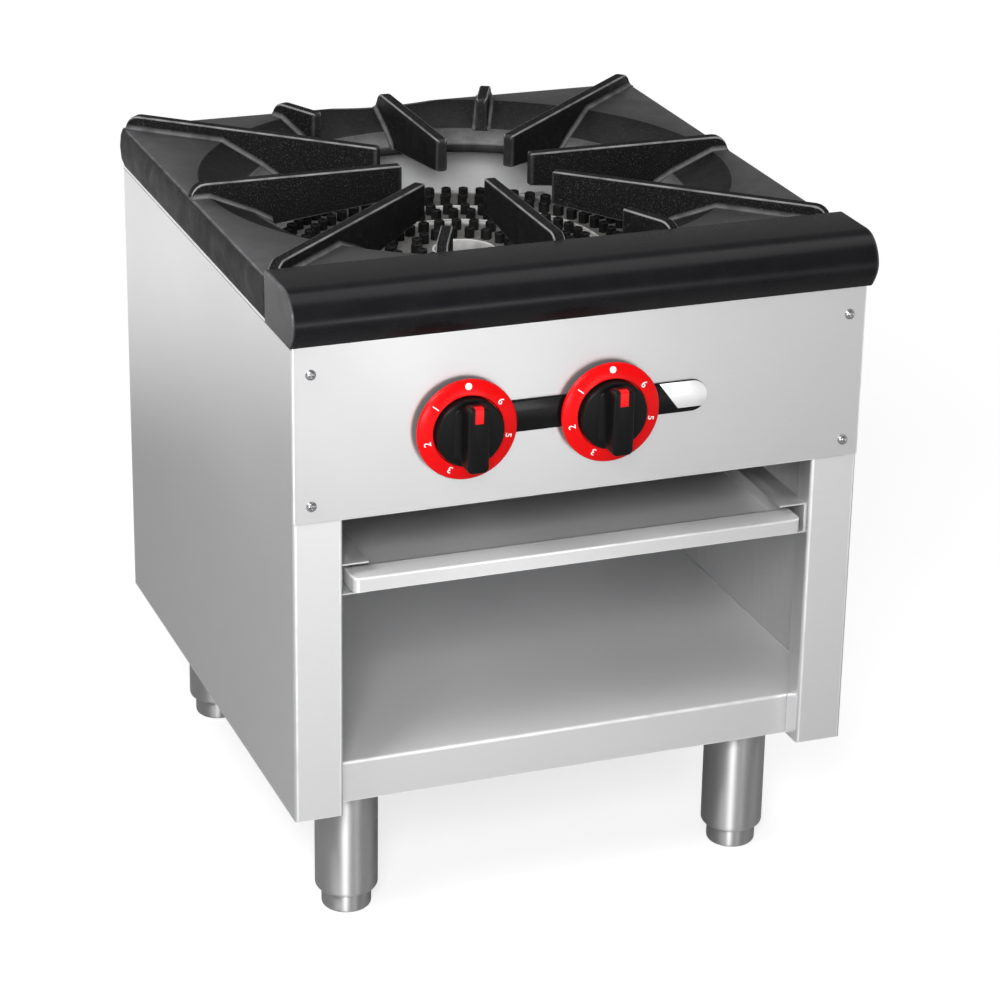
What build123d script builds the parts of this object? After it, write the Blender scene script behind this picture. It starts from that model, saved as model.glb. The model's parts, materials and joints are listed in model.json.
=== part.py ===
from build123d import *
import os
from math import atan2, cos, degrees, hypot, pi, radians, sin, sqrt, tan

os.makedirs("parts", exist_ok=True)

# ---------------------------------------------------------------- driving dimensions, mm
# Cabinet. The range is 18 inches wide and stands on four legs.
body_width = 457.2
body_depth = 475.5
body_height = 383.4
leg_height = 114.0
sheet = 1.2  # stainless sheet
bend = 2.0  # outside radius of a fold
slip = 0.5  # between two folded returns
seat_gap = 0.3  # between a loose piece and its seat
overcut = 1.0  # how far a cut runs past the face that it opens

# Side panels
post_width = 38.3
post_return = 20.0
rear_flange = 20.0
top_flange = 30.0

# Control panel and its screws
panel_height = 138.8
panel_return = 18.0
panel_edge = 1.0  # rounding along the panel's top and bottom edges
screw_side_inset = 13.6
screw_low_inset = 14.1
screw_high_inset = 22.1
screw_head = 8.0
screw_head_height = 2.6
screw_head_bevel = 1.4
screw_shank = 4.0
screw_length = 9.0

# Shelf
shelf_height = 34.0
shelf_setback = 20.6
shelf_hem = 15.0

# Drip tray and its runners
runner_level = 181.0  # underside of the runners above the cabinet's underside
runner_height = 25.0
runner_flange = 22.0
runner_setback = 6.0
tray_side_gap = 6.1
tray_wall = 14.3
tray_sheet = 1.0
pull_depth = 24.0
pull_height = 11.3
pull_proud = 3.0
pull_corner = 6.0
pull_overhang = 2.0
tray_rear_gap = 12.0

# Bullnose rail
bullnose_depth = 56.0
bullnose_height = 41.6
bullnose_flat_end = 11.0  # where its top begins to turn down, behind the front plane
bullnose_proud = 12.4
bullnose_nose_height = 21.0
bullnose_heel = 2.5
bullnose_wall = 3.0

# Top grate
deck_height = 32.6
skirt_crown = 3.5
skirt_wall = 8.0
deck_wall = 8.0
corner_radius = 6.0
crest_radius = 214.0
throat_radius = 178.0
throat_height = 17.1
opening_radius = 163.0
lip_height = 8.6
lip_floor = 0.8
rib_height = 44.1
rib_width = 10.0
rib_tip_depth = 27.0
rib_undercut_rise = 0.11  # how much a rib's underside falls per millimetre outwards
rib_bevel = 1.2
side_rib_reach = 55.0
corner_rib_reach = 76.0
short_rib_reach = 176.0
short_rib_angle = 24.5

# Burner castings
burner_drop = 52.4  # their underside below the top of the cabinet
burner_body = 18.0
ring_rim = 2.4
port_across = 9.0
port_height = 8.5
outer_ring_inner = 115.5
outer_ring_outer = 160.0
middle_ring_inner = 78.0
middle_ring_outer = 112.0
inner_ring_inner = 24.0
inner_ring_outer = 74.0
ring_bridge = 16.0
port_pitch = 17.0  # along each circle of ports
port_rows = [0.3, 0.72]  # places of the rows of ports across a ring, as shares of its width

# Burner supports
bar_leg = 25.0
bar_wall = 3.0
bar_spread = 137.0
strap_width = 20.0
strap_thickness = 6.0
strap_spread = 85.0

# Mixers and air shutters
mixer_radius = 14.0
mixer_wall = 3.5
mixer_start = 57.0
riser_radius = 17.0
shutter_radius = 19.0
shutter_thickness = 1.5

# Heat shield behind the valves
baffle_setback = 75.0
baffle_height = 100.0
baffle_drop = 47.4  # its top edge below the top of the cabinet
baffle_flange = 18.0
baffle_clearance = 2.0  # round the tubes that pass through it

# Knobs, dials and badge plate
knob_left_x = -97.0
knob_right_x = 17.0
knob_drop = 75.9  # the knobs' axis below the top of the cabinet
dial_radius = 39.2
dial_collar = 20.0
dial_standoff = 5.0
dial_floor = 1.5
dial_rim_depth = 3.0
dial_crown = 5.6
dial_well_radius = 27.6
knob_radius = 26.5
knob_float = 0.7
knob_base_depth = 7.5
grip_width = 16.5
grip_length = 51.0
grip_corner = 4.0
grip_depth = 18.5
grip_bevel = 1.6
grip_flare = 5.5
grip_flare_depth = 6.5
knob_bevel = 1.6
index_width = 6.5
index_length = 16.0
index_depth = 0.6
stem_radius = 4.0
stem_hole_radius = 6.0
plate_left_x = -74.0
plate_right_x = 97.5
plate_drop = 72.4  # the plate's middle below the top of the cabinet
plate_height = 25.0
plate_thickness = 2.5

# Gas train
valve_radius = 11.0
valve_start = 8.0
valve_length = 32.0
valve_drop = 36.0  # manifold centre below the valve centre
valve_neck = 7.5
running_gap = 0.05
orifice_radius = 6.0
orifice_length = 12.0
pipe_radius = 13.335  # 3/4 inch pipe
pipe_bore = 10.5
pipe_setback = 24.0
pipe_left_x = -150.0
pipe_right_x = 188.0
pipe_bend = 32.0
coupling_radius = 17.0
coupling_length = 18.0
coupling_setback = 13.0  # its middle before the bend
inlet_length = 32.0
thread_radius = 13.1
thread_length = 20.0
cap_radius = 16.0
cap_length = 14.0
bracket_width = 20.0
bracket_thickness = 3.0
bracket_x = 120.0
pilot_x = -40.0
pilot_tube_radius = 3.0
pilot_valve_radius = 6.0
pilot_valve_length = 16.0
pilot_bend = 14.0
pilot_gap = 8.0  # between the pilot head and the outer ring
pilot_head_radius = 6.5
pilot_head_length = 12.0

# Legs and feet
leg_radius = 25.0
leg_wall = 1.6
leg_inset_side = 61.6
leg_inset_front = 65.0
leg_inset_rear = 45.5
leg_shoulder = 4.0
leg_shoulder_height = 3.0
leg_plug = 14.0
leg_plate_thickness = 3.0
leg_plate_size = 100.0
foot_radius = 19.8
foot_height = 16.0
foot_bevel = 3.0
foot_stud_radius = 8.0
foot_stud_spare = 8.7  # stud left above the plug when the foot is right down
foot_travel = 25.0

# ---------------------------------------------------------------- reference planes
half_width = body_width / 2
inner_half = half_width - sheet
base = leg_height
top = base + body_height
knob_reach = dial_standoff + dial_floor + knob_float + knob_base_depth + grip_depth
face = -(body_depth + inlet_length - sheet - knob_reach) / 2
back = face + body_depth
panel_front = face - sheet
grate_front = face + bullnose_depth + slip
hearth = (grate_front + back) / 2
grate_floor = top + seat_gap
burner_base = top - burner_drop
knob_z = top - knob_drop
pipe_y = face + pipe_setback
pipe_z = knob_z - valve_drop
strap_floor = burner_base - strap_thickness
bar_floor = strap_floor - bar_leg
baffle_y = face + baffle_setback
baffle_ceiling = top - baffle_drop
baffle_floor = baffle_ceiling - baffle_height
foot_stud_length = seat_gap + leg_plug + foot_travel + foot_stud_spare


def keep(piece, name):
    """Labels a finished piece and writes it as one file of that name."""
    piece.part.label = name
    export_step(piece.part, f"parts/{name}.step")


def facing_front(y):
    """A plane at depth y, with its x to the right, its y up and its normal to the front."""
    return Plane(origin=(0, y, 0), x_dir=(1, 0, 0), z_dir=(0, -1, 0))


def facing_right(x):
    """A plane at x, with its x to the back, its y up and its normal to the right."""
    return Plane(origin=(x, 0, 0), x_dir=(0, 1, 0), z_dir=(1, 0, 0))


def block(x0, x1, y0, y1, z0, z1, mode=Mode.ADD):
    """A box between two corners, added to the part being built."""
    with Locations(((x0 + x1) / 2, (y0 + y1) / 2, (z0 + z1) / 2)):
        Box(x1 - x0, y1 - y0, z1 - z0, mode=mode)


def rod(start, direction, radius, length, mode=Mode.ADD):
    """A round bar from a start point along a direction, added to the part being built."""
    with BuildSketch(Plane(origin=start, z_dir=direction)) as section:
        Circle(radius)
    extrude(section.sketch, amount=length, mode=mode)


# ---------------------------------------------------------------- side panels
# One sheet each: the outer wall, a post and its return at the front, a flange at the rear,
# and a flange along the top that carries the grate.
with BuildPart() as side_panel_left:
    with BuildSketch(Plane.XY.offset(base)):
        with BuildLine():
            Polyline(
                (-half_width, back),
                (-half_width, face),
                (-half_width + post_width, face),
                (-half_width + post_width, face + post_return),
                (-half_width + post_width - sheet, face + post_return),
                (-half_width + post_width - sheet, face + sheet),
                (-inner_half, face + sheet),
                (-inner_half, back - sheet),
                (-half_width + rear_flange, back - sheet),
                (-half_width + rear_flange, back),
                close=True,
            )
        make_face()
    extrude(amount=body_height)
    outer_folds = side_panel_left.edges().filter_by(Axis.Z).group_by(Axis.X)[0]
    fillet(outer_folds, bend)
    block(-half_width + sheet / 2, -half_width + top_flange, face + sheet / 2, back - sheet / 2,
          top - sheet, top)
    for level in (top - panel_height + screw_low_inset, top - screw_high_inset):
        rod((-half_width + screw_side_inset, face - sheet, level), (0, 1, 0),
            screw_shank / 2 + running_gap, 3 * sheet, mode=Mode.SUBTRACT)
keep(side_panel_left, "side_panel_left")

with BuildPart() as side_panel_right:
    mirror(side_panel_left.part, about=Plane.YZ)
keep(side_panel_right, "side_panel_right")

# ---------------------------------------------------------------- back panel
# A flat sheet inside the rear flanges, folded forward along the top, with a hole for the gas inlet.
with BuildPart() as back_panel:
    block(-inner_half, inner_half, back - 2 * sheet, back - sheet, base, top - sheet)
    block(-inner_half, inner_half, back - rear_flange, back - sheet, top - 2 * sheet, top - sheet)
    rod((pipe_right_x, back - 3 * sheet, pipe_z), (0, 1, 0), pipe_radius + seat_gap, 3 * sheet,
        mode=Mode.SUBTRACT)
keep(back_panel, "back_panel")

# ---------------------------------------------------------------- bottom shelf
# A pan turned upside down: flat top, folded down all round, with a hem along the bottom.
shelf_front = face + shelf_setback
shelf_back = back - 2 * sheet
with BuildPart() as bottom_shelf:
    block(-inner_half, inner_half, shelf_front, shelf_back, base, base + shelf_height)
    block(-inner_half + sheet, inner_half - sheet, shelf_front + sheet, shelf_back - sheet,
          base + sheet, base + shelf_height - sheet, mode=Mode.SUBTRACT)
    block(-inner_half + shelf_hem, inner_half - shelf_hem, shelf_front + shelf_hem,
          shelf_back - shelf_hem, base, base + sheet, mode=Mode.SUBTRACT)
    nose_edge = bottom_shelf.edges().filter_by(Axis.X).group_by(Axis.Z)[-1].sort_by(Axis.Y)[0]
    fillet(nose_edge, sheet)
keep(bottom_shelf, "bottom_shelf")

# ---------------------------------------------------------------- control panel
# Hung over the posts, with returns at the top and bottom, and holes for stems and screws.
panel_floor = top - panel_height
knob_places = {"left": knob_left_x, "right": knob_right_x}
screw_places = [
    (side * (half_width - screw_side_inset), level)
    for side in (-1, 1)
    for level in (panel_floor + screw_low_inset, top - screw_high_inset)
]
between_posts = half_width - post_width - slip
with BuildPart() as control_panel:
    block(-half_width, half_width, panel_front, face, panel_floor, top)
    for level in (panel_floor, top - sheet):
        block(-between_posts, between_posts, panel_front, face + panel_return, level, level + sheet)
    for x in knob_places.values():
        rod((x, panel_front - sheet, knob_z), (0, 1, 0), stem_hole_radius, 3 * sheet,
            mode=Mode.SUBTRACT)
    for x, z in screw_places:
        rod((x, panel_front - sheet, z), (0, 1, 0), screw_shank / 2 + running_gap, 3 * sheet,
            mode=Mode.SUBTRACT)
    front_edges = control_panel.edges().filter_by(Axis.X).group_by(Axis.Y)[0]
    fillet(front_edges, panel_edge)
keep(control_panel, "control_panel")

# Pan head screws through the panel into the posts.
with BuildPart() as panel_screws:
    for x, z in screw_places:
        rod((x, panel_front, z), (0, -1, 0), screw_head / 2, screw_head_height)
        rod((x, panel_front, z), (0, 1, 0), screw_shank / 2, screw_length)
    chamfer(panel_screws.edges().group_by(Axis.Y)[0], screw_head_bevel)
keep(panel_screws, "panel_screws")

# ---------------------------------------------------------------- badge plate
# A slim plate with round ends, behind the knobs. Its face is bare.
with BuildPart() as badge_plate:
    with BuildSketch(facing_front(panel_front)):
        with Locations(((plate_left_x + plate_right_x) / 2, top - plate_drop)):
            RectangleRounded(plate_right_x - plate_left_x, plate_height, plate_height / 2 - 0.01)
        for x in knob_places.values():
            with Locations((x, knob_z)):
                Circle(dial_collar + slip, mode=Mode.SUBTRACT)
    extrude(amount=plate_thickness)
keep(badge_plate, "badge_plate")

# ---------------------------------------------------------------- dials
# A red ring on a collar: a conical face round a well that the knob sits in.
for side, x in knob_places.items():
    with BuildPart() as dial_bezel:
        with BuildSketch(Plane(origin=(x, panel_front, knob_z), x_dir=(1, 0, 0), z_dir=(0, 0, -1))):
            with BuildLine():
                Polyline(
                    (stem_hole_radius, 0),
                    (dial_collar, 0),
                    (dial_collar, dial_standoff),
                    (dial_radius, dial_standoff),
                    (dial_radius, dial_standoff + dial_rim_depth),
                    (dial_well_radius, dial_standoff + dial_crown),
                    (dial_well_radius, dial_standoff + dial_floor),
                    (stem_hole_radius, dial_standoff + dial_floor),
                    close=True,
                )
            make_face()
        revolve(axis=Axis((x, panel_front, knob_z), (0, -1, 0)))
    keep(dial_bezel, f"dial_bezel_{side}")

# ---------------------------------------------------------------- knobs
# A round base in the dial's well, a grip bar across it with flared flanks, and a red index line.
knob_back = panel_front - dial_standoff - dial_floor - knob_float
knob_rim = knob_back - knob_base_depth
knob_face = knob_rim - grip_depth
for side, x in knob_places.items():
    index_top = knob_z + grip_length / 2 - grip_bevel
    with BuildPart() as knob:
        rod((x, knob_back, knob_z), (0, -1, 0), knob_radius, knob_base_depth)
        chamfer(knob.edges().group_by(Axis.Y)[0], knob_bevel)
        with BuildSketch(facing_front(knob_rim)):
            with Locations((x, knob_z)):
                Rectangle(grip_width + 2 * grip_flare, grip_length - 2 * grip_flare)
        with BuildSketch(facing_front(knob_rim - grip_flare_depth)):
            with Locations((x, knob_z)):
                Rectangle(grip_width, grip_length - 2 * grip_flare)
        loft()
        with BuildSketch(facing_front(knob_rim)):
            with Locations((x, knob_z)):
                RectangleRounded(grip_width, grip_length, grip_corner)
        extrude(amount=grip_depth)
        chamfer(knob.edges().group_by(Axis.Y)[0], grip_bevel)
        rod((x, knob_back, knob_z), (0, -1, 0), stem_radius, knob_base_depth, mode=Mode.SUBTRACT)
        block(x - index_width / 2, x + index_width / 2, knob_face - overcut, knob_face + index_depth,
              index_top - index_length, index_top, mode=Mode.SUBTRACT)
    keep(knob, f"knob_{side}")

    with BuildPart() as knob_index:
        block(x - index_width / 2, x + index_width / 2, knob_face, knob_face + index_depth,
              index_top - index_length, index_top)
    keep(knob_index, f"knob_index_{side}")

    with BuildPart() as valve_stem:
        rod((x, knob_back - knob_base_depth, knob_z), (0, 1, 0), stem_radius,
            face + valve_start + valve_length / 2 - knob_back + knob_base_depth)
    keep(valve_stem, f"valve_stem_{side}")

# ---------------------------------------------------------------- bullnose rail
# A rolled rail across the whole front of the top, with closed ends and open underneath.
bullnose_half = half_width + skirt_crown
with BuildPart() as bullnose:
    with BuildSketch(facing_right(-bullnose_half)) as outline:
        with BuildLine():
            rear = Line((face + bullnose_depth, top), (face + bullnose_depth, top + bullnose_height))
            deck = Line(rear @ 1, (face + bullnose_flat_end, top + bullnose_height))
            nose = TangentArc(deck @ 1, (face - bullnose_proud, top + bullnose_nose_height),
                              tangent=deck % 1)
            TangentArc(nose @ 1, (panel_front - bullnose_heel, top), tangent=nose % 1)
            Line((panel_front - bullnose_heel, top), rear @ 0)
        make_face()
    extrude(amount=2 * bullnose_half)
    rear_edge = bullnose.edges().filter_by(Axis.X).group_by(Axis.Z)[-1].sort_by(Axis.Y)[-1]
    fillet(rear_edge, bullnose_wall)
    with BuildSketch(facing_right(-bullnose_half + bullnose_wall)):
        add(outline.sketch_local)
        offset(amount=-bullnose_wall, mode=Mode.REPLACE)
    extrude(amount=2 * (bullnose_half - bullnose_wall), mode=Mode.SUBTRACT)
    block(-bullnose_half + bullnose_wall, bullnose_half - bullnose_wall,
          panel_front - bullnose_heel + bullnose_wall, face + bullnose_depth - bullnose_wall,
          top, top + 2 * bullnose_wall, mode=Mode.SUBTRACT)
keep(bullnose, "bullnose")

# ---------------------------------------------------------------- drip tray and runners
# The runners are channels, open inwards, from the posts' returns to the back panel.
runner_floor = base + runner_level
runner_half = half_width - post_width
runner_front = face + runner_setback
runner_back = back - 2 * sheet
with BuildPart() as tray_runner_left:
    with BuildSketch(facing_front(runner_front)):
        with BuildLine():
            Polyline(
                (-runner_half, runner_floor),
                (-runner_half + runner_flange, runner_floor),
                (-runner_half + runner_flange, runner_floor + sheet),
                (-runner_half + sheet, runner_floor + sheet),
                (-runner_half + sheet, runner_floor + runner_height - sheet),
                (-runner_half + runner_flange, runner_floor + runner_height - sheet),
                (-runner_half + runner_flange, runner_floor + runner_height),
                (-runner_half, runner_floor + runner_height),
                close=True,
            )
        make_face()
    extrude(amount=runner_front - runner_back)
keep(tray_runner_left, "tray_runner_left")

with BuildPart() as tray_runner_right:
    mirror(tray_runner_left.part, about=Plane.YZ)
keep(tray_runner_right, "tray_runner_right")

# The tray: a shallow pan, and a folded pull along its front, open below for the fingers.
tray_floor = runner_floor + sheet + seat_gap
tray_top = tray_floor + tray_wall
pull_half = runner_half - sheet - tray_side_gap
tray_half = pull_half - pull_overhang
tray_front = face - pull_proud + pull_depth
tray_back = runner_back - tray_rear_gap
with BuildPart() as drip_tray:
    block(-tray_half, tray_half, tray_front - tray_sheet, tray_back, tray_floor, tray_top)
    block(-tray_half + tray_sheet, tray_half - tray_sheet, tray_front, tray_back - tray_sheet,
          tray_floor + tray_sheet, tray_top + overcut, mode=Mode.SUBTRACT)
    with BuildSketch(Plane.XY.offset(tray_top)) as pull_plan:
        with BuildLine():
            Polyline(
                (-pull_half, tray_front),
                (-pull_half, face - pull_proud),
                (pull_half, face - pull_proud),
                (pull_half, tray_front),
                close=True,
            )
        make_face()
        fillet(pull_plan.vertices().group_by(Axis.Y)[0], pull_corner)
    extrude(amount=-pull_height)
    with BuildSketch(Plane.XY.offset(tray_top - tray_sheet)) as pull_inside:
        with BuildLine():
            Polyline(
                (-pull_half + tray_sheet, tray_front - tray_sheet),
                (-pull_half + tray_sheet, face - pull_proud + tray_sheet),
                (pull_half - tray_sheet, face - pull_proud + tray_sheet),
                (pull_half - tray_sheet, tray_front - tray_sheet),
                close=True,
            )
        make_face()
        fillet(pull_inside.vertices().group_by(Axis.Y)[0], pull_corner - tray_sheet)
    extrude(amount=-pull_height, mode=Mode.SUBTRACT)
keep(drip_tray, "drip_tray")

# ---------------------------------------------------------------- top grate
# One iron casting. Its skirt is crowned, its deck falls as a funnel to a round opening with a
# steeper lip, and ribs stand on it and reach in over the flame.
with BuildPart() as side_section:
    with BuildSketch(facing_front(grate_front)):
        with BuildLine():
            ThreePointArc((-half_width, grate_floor),
                          (-half_width - skirt_crown, grate_floor + deck_height / 2),
                          (-half_width, grate_floor + deck_height))
            Line((-half_width, grate_floor + deck_height), (half_width, grate_floor + deck_height))
            ThreePointArc((half_width, grate_floor + deck_height),
                          (half_width + skirt_crown, grate_floor + deck_height / 2),
                          (half_width, grate_floor))
            Line((half_width, grate_floor), (-half_width, grate_floor))
        make_face()
    extrude(amount=grate_front - back - 2 * skirt_crown)

with BuildPart() as underside:
    with BuildSketch(Plane(origin=(0, hearth, grate_floor), x_dir=(1, 0, 0), z_dir=(0, -1, 0))):
        with BuildLine():
            Polyline(
                (opening_radius + deck_wall, -overcut),
                (opening_radius + deck_wall, lip_floor),
                (throat_radius, throat_height - deck_wall),
                (crest_radius, deck_height - deck_wall),
                (body_width, deck_height - deck_wall),
                (body_width, -overcut),
                close=True,
            )
        make_face()
    revolve(axis=Axis((0, hearth, 0), (0, 0, 1)))
    with BuildSketch(Plane.XY.offset(grate_floor - overcut)):
        with Locations((0, hearth)):
            Rectangle(body_width - 2 * skirt_wall, back - grate_front - 2 * skirt_wall)
    extrude(amount=deck_height, mode=Mode.INTERSECT)

half_depth = (back - grate_front) / 2
corner_angle = degrees(atan2(half_depth, half_width))
long_ribs = [
    (0, side_rib_reach, half_width),
    (180, side_rib_reach, half_width),
    (90, side_rib_reach, half_depth),
    (270, side_rib_reach, half_depth),
]
corner_reach = hypot(half_width, half_depth) - corner_radius
for angle in (corner_angle, 180 - corner_angle, 180 + corner_angle, -corner_angle):
    long_ribs.append((angle, corner_rib_reach, corner_reach))
short_reach = half_depth / cos(radians(short_rib_angle)) - rib_width * tan(radians(short_rib_angle)) / 2
short_ribs = [
    (angle + turn, short_rib_reach, short_reach)
    for angle in (90, 270)
    for turn in (-short_rib_angle, short_rib_angle)
]
funnel_slope = (deck_height - throat_height) / (crest_radius - throat_radius)


def rib_plane(angle):
    """An upright plane through the burner's axis, with its x outwards and its y up."""
    a = radians(angle)
    return Plane(origin=(0, hearth, grate_floor), x_dir=(cos(a), sin(a), 0),
                 z_dir=(sin(a), -cos(a), 0))


def wall_middle(radius):
    """Height of the middle of the deck's wall, at a distance from the burner's axis."""
    surface = min(deck_height, throat_height + funnel_slope * (radius - throat_radius))
    return surface - deck_wall / 2


rib_shoulder = rib_height - deck_height
with BuildPart() as ribs:
    for angle, inner, outer in long_ribs + short_ribs:
        root = [(r, wall_middle(r)) for r in (outer, crest_radius, throat_radius) if r <= outer]
        if inner < opening_radius:
            tip_floor = rib_height - rib_tip_depth
            root_floor = tip_floor - rib_undercut_rise * (opening_radius - inner)
            root.append((opening_radius + deck_wall / 2, root_floor))
            root.append((opening_radius - deck_wall / 2, root_floor))
            root.append((inner, tip_floor))
        else:
            root.append((inner, wall_middle(throat_radius)))
        with BuildSketch(rib_plane(angle)):
            with BuildLine():
                Polyline((outer, deck_height), *root, (inner, rib_height),
                         (outer - rib_shoulder, rib_height))
                TangentArc((outer - rib_shoulder, rib_height), (outer, deck_height), tangent=(1, 0))
            make_face()
        extrude(amount=rib_width / 2, both=True)
    rib_tops = ribs.faces().filter_by(Axis.Z).group_by(Axis.Z)[-1]
    chamfer(rib_tops.edges(), rib_bevel)

with BuildPart() as top_grate:
    with BuildSketch(facing_right(-half_width - 2 * skirt_crown)):
        with BuildLine():
            Polyline((back, grate_floor), (grate_front, grate_floor),
                     (grate_front, grate_floor + deck_height), (back, grate_floor + deck_height))
            ThreePointArc((back, grate_floor + deck_height),
                          (back + skirt_crown, grate_floor + deck_height / 2),
                          (back, grate_floor))
        make_face()
    extrude(amount=body_width + 4 * skirt_crown)
    add(side_section.part, mode=Mode.INTERSECT)
    with BuildSketch(Plane.XY.offset(grate_floor)) as plan:
        with Locations((0, (grate_front + back + skirt_crown) / 2)):
            Rectangle(body_width + 2 * skirt_crown, back + skirt_crown - grate_front)
        fillet(plan.vertices().group_by(Axis.Y)[-1], corner_radius + skirt_crown)
    extrude(amount=deck_height, mode=Mode.INTERSECT)
    with BuildSketch(Plane(origin=(0, hearth, grate_floor), x_dir=(1, 0, 0), z_dir=(0, -1, 0))):
        with BuildLine():
            Polyline(
                (0, -overcut),
                (opening_radius, -overcut),
                (opening_radius, lip_height),
                (throat_radius, throat_height),
                (crest_radius, deck_height),
                (crest_radius, deck_height + overcut),
                (0, deck_height + overcut),
                close=True,
            )
        make_face()
    revolve(axis=Axis((0, hearth, 0), (0, 0, 1)), mode=Mode.SUBTRACT)
    add(underside.part, mode=Mode.SUBTRACT)
    add(ribs.part)
keep(top_grate, "top_grate")


# ---------------------------------------------------------------- burner castings
def port_row(inner, outer, share, shift):
    """One circle of six-sided ports on a ring, at a share of the ring's width."""
    radius = inner + share * (outer - inner)
    count = round(2 * pi * radius / port_pitch)
    with PolarLocations(radius, count, start_angle=shift * 180 / count):
        RegularPolygon(port_across / 2, 6)


def ring_body(inner, outer):
    """A ring with a raised rim along both edges of its top."""
    with BuildSketch(Plane(origin=(0, hearth, burner_base), x_dir=(1, 0, 0), z_dir=(0, -1, 0))) as section:
        with BuildLine():
            Polyline(
                (inner, 0),
                (outer, 0),
                (outer, burner_body + ring_rim),
                (outer - ring_rim, burner_body + ring_rim),
                (outer - ring_rim, burner_body),
                (inner + ring_rim, burner_body),
                (inner + ring_rim, burner_body + ring_rim),
                (inner, burner_body + ring_rim),
                close=True,
            )
        make_face()
    revolve(section.sketch, axis=Axis((0, hearth, 0), (0, 0, 1)))


port_plane = Plane(origin=(0, hearth, burner_base + burner_body))
with BuildPart() as burner_outer_ring:
    ring_body(outer_ring_inner, outer_ring_outer)
    with BuildSketch(port_plane):
        for n, share in enumerate(port_rows):
            port_row(outer_ring_inner, outer_ring_outer, share, n % 2)
    extrude(amount=port_height)
keep(burner_outer_ring, "burner_outer_ring")

with BuildPart() as burner_inner_rings:
    ring_body(middle_ring_inner, middle_ring_outer)
    ring_body(inner_ring_inner, inner_ring_outer)
    for angle in (45, 135, 225, 315):
        with BuildSketch(Plane(origin=(0, hearth, burner_base), x_dir=Vector(1, 0, 0).rotate(Axis.Z, angle),
                               z_dir=(0, 0, 1))):
            with Locations(((inner_ring_outer + middle_ring_inner) / 2, 0)):
                Rectangle(middle_ring_inner - inner_ring_outer + 2 * ring_rim, ring_bridge)
        extrude(amount=burner_body)
    with BuildSketch(port_plane):
        for n, share in enumerate(port_rows):
            port_row(middle_ring_inner, middle_ring_outer, share, n % 2)
        for n, share in enumerate(port_rows):
            port_row(inner_ring_inner, inner_ring_outer, share, n % 2)
    extrude(amount=port_height)
keep(burner_inner_rings, "burner_inner_rings")

# ---------------------------------------------------------------- burner supports
# Two angle bars from the heat shield to the back panel, and two flat straps across them.
bar_front = baffle_y + sheet
bar_back = back - 2 * sheet
with BuildPart() as burner_bars:
    for side in (-1, 1):
        outer_x = side * (bar_spread + bar_leg / 2)
        inner_x = side * (bar_spread - bar_leg / 2)
        web_x = outer_x - side * bar_wall
        block(min(outer_x, inner_x), max(outer_x, inner_x), bar_front, bar_back,
              strap_floor - bar_wall, strap_floor)
        block(min(outer_x, web_x), max(outer_x, web_x), bar_front, bar_back, bar_floor, strap_floor)
keep(burner_bars, "burner_bars")

strap_half = bar_spread + bar_leg / 2
with BuildPart() as burner_straps:
    for y in (hearth - strap_spread, hearth + strap_spread):
        block(-strap_half, strap_half, y - strap_width / 2, y + strap_width / 2,
              strap_floor, burner_base)
keep(burner_straps, "burner_straps")

# ---------------------------------------------------------------- mixers and air shutters
# Each mixer is a tube from its orifice to a riser under its ring.
outer_mid = (outer_ring_inner + outer_ring_outer) / 2
middle_mid = (middle_ring_inner + middle_ring_outer) / 2
mixers = {
    "inner": (knob_left_x, hearth - sqrt(max(0, middle_mid**2 - knob_left_x**2))),
    "outer": (knob_right_x, hearth - sqrt(outer_mid**2 - knob_right_x**2)),
}
for name, (x, riser_y) in mixers.items():
    with BuildPart() as mixer:
        rod((x, face + mixer_start, knob_z), (0, 1, 0), mixer_radius, riser_y - face - mixer_start)
        rod((x, riser_y, knob_z - riser_radius), (0, 0, 1), riser_radius,
            burner_base - knob_z + riser_radius)
        rod((x, face + mixer_start, knob_z), (0, 1, 0), mixer_radius - mixer_wall,
            riser_y - face - mixer_start, mode=Mode.SUBTRACT)
    keep(mixer, f"{name}_mixer")

    with BuildPart() as air_shutter:
        rod((x, face + mixer_start, knob_z), (0, -1, 0), shutter_radius, shutter_thickness)
        rod((x, face + mixer_start, knob_z), (0, -1, 0), mixer_radius / 2, shutter_thickness,
            mode=Mode.SUBTRACT)
    keep(air_shutter, f"{name}_air_shutter")

# ---------------------------------------------------------------- heat shield
# An upright sheet from side to side behind the valves, with holes for the tubes and the pipe.
with BuildPart() as front_baffle:
    block(-inner_half, inner_half, baffle_y, baffle_y + sheet, baffle_floor, baffle_ceiling)
    for side in (-1, 1):
        edge = side * inner_half
        block(min(edge, edge - side * sheet), max(edge, edge - side * sheet), baffle_y,
              baffle_y + baffle_flange, baffle_floor, baffle_ceiling)
    for x, riser_y in mixers.values():
        rod((x, baffle_y - sheet, knob_z), (0, 1, 0), mixer_radius, 3 * sheet, mode=Mode.SUBTRACT)
    rod((pipe_right_x, baffle_y - sheet, pipe_z), (0, 1, 0), pipe_radius + baffle_clearance,
        3 * sheet, mode=Mode.SUBTRACT)
    rod((pilot_x, baffle_y - sheet, pipe_z), (0, 1, 0), pilot_tube_radius, 3 * sheet,
        mode=Mode.SUBTRACT)
keep(front_baffle, "front_baffle")

# ---------------------------------------------------------------- gas train
# The manifold is a straight pipe behind the panel. A coupling joins it to the inlet pipe, which
# turns at the right and leaves through the back.
pipe_joint_x = pipe_right_x - pipe_bend - coupling_setback
with BuildPart() as gas_manifold:
    with BuildSketch(facing_right(pipe_left_x)):
        with Locations((pipe_y, pipe_z)):
            Circle(pipe_radius)
            Circle(pipe_bore, mode=Mode.SUBTRACT)
    extrude(amount=pipe_joint_x - pipe_left_x)
keep(gas_manifold, "gas_manifold")

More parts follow.
